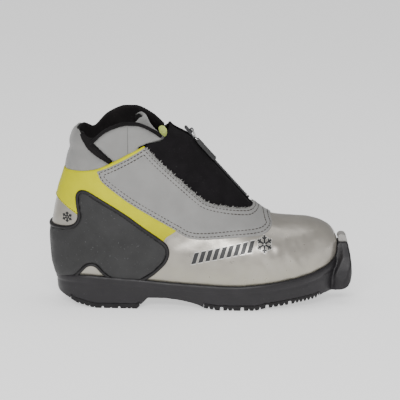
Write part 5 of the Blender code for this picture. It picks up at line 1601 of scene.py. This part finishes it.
def stroke(start, end, width):
    """The four corners of a straight stroke in (x, z)."""
    start, end = np.array(start, float), np.array(end, float)
    along = (end - start) / np.linalg.norm(end - start)
    side = np.array((-along[1], along[0])) * width / 2
    return (start - side, end - side, end + side, start + side)


def snowflake(middle, size, width):
    """Strokes of a plain six-armed snowflake."""
    middle = np.array(middle, float)
    strokes = []
    for arm in range(6):
        angle = math.radians(60 * arm + 30)
        along = np.array((math.cos(angle), math.sin(angle)))
        strokes.append(stroke(middle + along * size * 0.12, middle + along * size, width))
        root = middle + along * size * 0.58
        for turn in (-1, 1):
            branch = angle + turn * math.radians(55)
            tip = root + np.array((math.cos(branch), math.sin(branch))) * size * 0.34
            strokes.append(stroke(root, tip, width * 0.8))
    return strokes


def make_marks():
    """Generic print on each side: a row of slanted bars and a snowflake, with a pale rim of painted highlight
    round the side marks.
    """
    side_tree, heel_tree = (surface_tree(bpy.data.objects[name]) for name in ("vamp_skin", "heel_skin"))
    start, end = np.array(MARK_START), np.array(MARK_END)
    along = (end - start) / np.linalg.norm(end - start)
    up = np.array(BAR_LEAN)
    bars = []
    for number in range(BAR_COUNT):
        foot = start + along * number * BAR_PITCH
        head = foot + along * BAR_WIDTH
        bars.append((foot, head, head + up * BAR_HEIGHT, foot + up * BAR_HEIGHT))
    snow = snowflake(end + along * 8.5 + up * 4.8, 7.2, 1.5)
    for side, sign in (("lateral", -1), ("medial", 1)):
        # The pale rims round the bars and the snowflake are painted highlight.
        light = [(grown(bar, 0.6), 3, 8) for bar in bars] + [(grown(quad, 0.5), 2, 5) for quad in snow]
        decal("side_mark_edge_" + side, side_tree, light, 0.16, MARK_HIGHLIGHT_RIM, "silver_skin", sign)
        dark = [(quad, 2, 8) for quad in bars] + [(quad, 1, 5) for quad in snow]
        decal("side_mark_" + side, side_tree, dark, 0.34, MARK, "black_piping", sign)
        flake = [(quad, 1, 4) for quad in snowflake((-119.5, 83.0), 4.6, 1.2)]
        decal("heel_mark_" + side, heel_tree, flake, 0.3, MARK, "black_piping", sign)


def grown(quad, margin):
    """Four corners moved out from their middle, for the painted highlight round a mark."""
    middle = sum(np.array(corner, float) for corner in quad) / 4
    return tuple(corner + (corner - middle) / np.linalg.norm(corner - middle) * margin * 1.4
                 for corner in quad)


# =========================================================================== scene
# In metres and watts; each light has its place, its size and its power.
FLOOR_REACH = 6.0
FLOOR_Z = -0.0002
FLOOR_GLOW = 0.75
SKY_STRENGTH = 0.34
LIT_POINT = (0.0, 0.0, 0.07)
LIGHTS = {
    "key": ((-0.15, -1.5, 0.80), (0.8, 0.30), 16),
    "top": ((0.1, 0.2, 1.6), (1.4, 1.0), 7),
    "side": ((1.5, -0.5, 0.6), (0.6, 0.8), 1.5),
}
CAMERA_TILT = 12.0
CAMERA_DISTANCE = 2.114
CAMERA_TARGET = (0.0, 0.0, 0.093)
SENSOR_WIDTH = 36.0
PHOTO_WIDTH = 400
METRES_A_PIXEL = 0.00091


def dress_hidden_nodes():
    """Finishes for the solids that stay as they are."""
    looks = {"shank": STEEL, "insole_board": BOARD, "heel_stiffener": BOARD, "toe_puff": BOARD,
             "lace": TEXTILE, "lace_stay_lateral": TEXTILE, "lace_stay_medial": TEXTILE}
    for node, look in looks.items():
        for place in frame["nodes"][node].material_slots:
            place.material = look


def make_stage():
    """A pale floor that shines a little, and an even grey sky."""
    white = bpy.data.materials.new("floor_white")
    white.use_nodes = True
    shader = white.node_tree.nodes["Principled BSDF"]
    shader.inputs["Base Color"].default_value = (0.93, 0.93, 0.93, 1)
    shader.inputs["Roughness"].default_value = 0.9
    shader.inputs["Specular IOR Level"].default_value = 0.1
    shader.inputs["Emission Color"].default_value = (1, 1, 1, 1)
    shader.inputs["Emission Strength"].default_value = FLOOR_GLOW
    mesh = bpy.data.meshes.new("floor")
    corners = ((-1, -1), (1, -1), (1, 1), (-1, 1))
    mesh.from_pydata([(x * FLOOR_REACH, y * FLOOR_REACH, FLOOR_Z) for x, y in corners], [], [(0, 1, 2, 3)])
    mesh.materials.append(white)
    floor = bpy.data.objects.new("floor", mesh)
    bpy.context.collection.objects.link(floor)
    world = bpy.data.worlds.new("studio")
    world.use_nodes = True
    background = world.node_tree.nodes["Background"]
    background.inputs["Color"].default_value = (1.0, 1.0, 1.0, 1)
    background.inputs["Strength"].default_value = SKY_STRENGTH
    bpy.context.scene.world = world


def make_lights():
    """Soft area lights that point at the boot."""
    for name, (place, size, power) in LIGHTS.items():
        light = bpy.data.lights.new(name, "AREA")
        light.shape = "RECTANGLE"
        light.size, light.size_y = size
        light.energy = power
        lamp = bpy.data.objects.new(name, light)
        lamp.location = place
        lamp.rotation_euler = (Vector(LIT_POINT) - Vector(place)).to_track_quat("-Z", "Y").to_euler()
        bpy.context.collection.objects.link(lamp)


def make_camera():
    """The photograph's view: level with azimuth 0, 12 degrees above the floor."""
    tilt = math.radians(CAMERA_TILT)
    target = Vector(CAMERA_TARGET)
    view = bpy.data.cameras.new("camera")
    view.sensor_width = SENSOR_WIDTH
    view.lens = SENSOR_WIDTH * CAMERA_DISTANCE / (PHOTO_WIDTH * METRES_A_PIXEL)
    camera = bpy.data.objects.new("camera", view)
    camera.location = target + Vector((0, -math.cos(tilt), math.sin(tilt))) * CAMERA_DISTANCE
    camera.rotation_euler = (target - camera.location).to_track_quat("-Z", "Y").to_euler()
    bpy.context.collection.objects.link(camera)
    bpy.context.scene.camera = camera


make_camera()
make_skins()
make_band()
make_overlay()
make_counter()
make_rear_collar()
make_wings()
make_lining()
make_tongue()
make_tab()
make_covers()
make_zip()
make_outsole()
make_treads()
make_toe_parts()
make_marks()
dress_hidden_nodes()
make_stage()
make_lights()
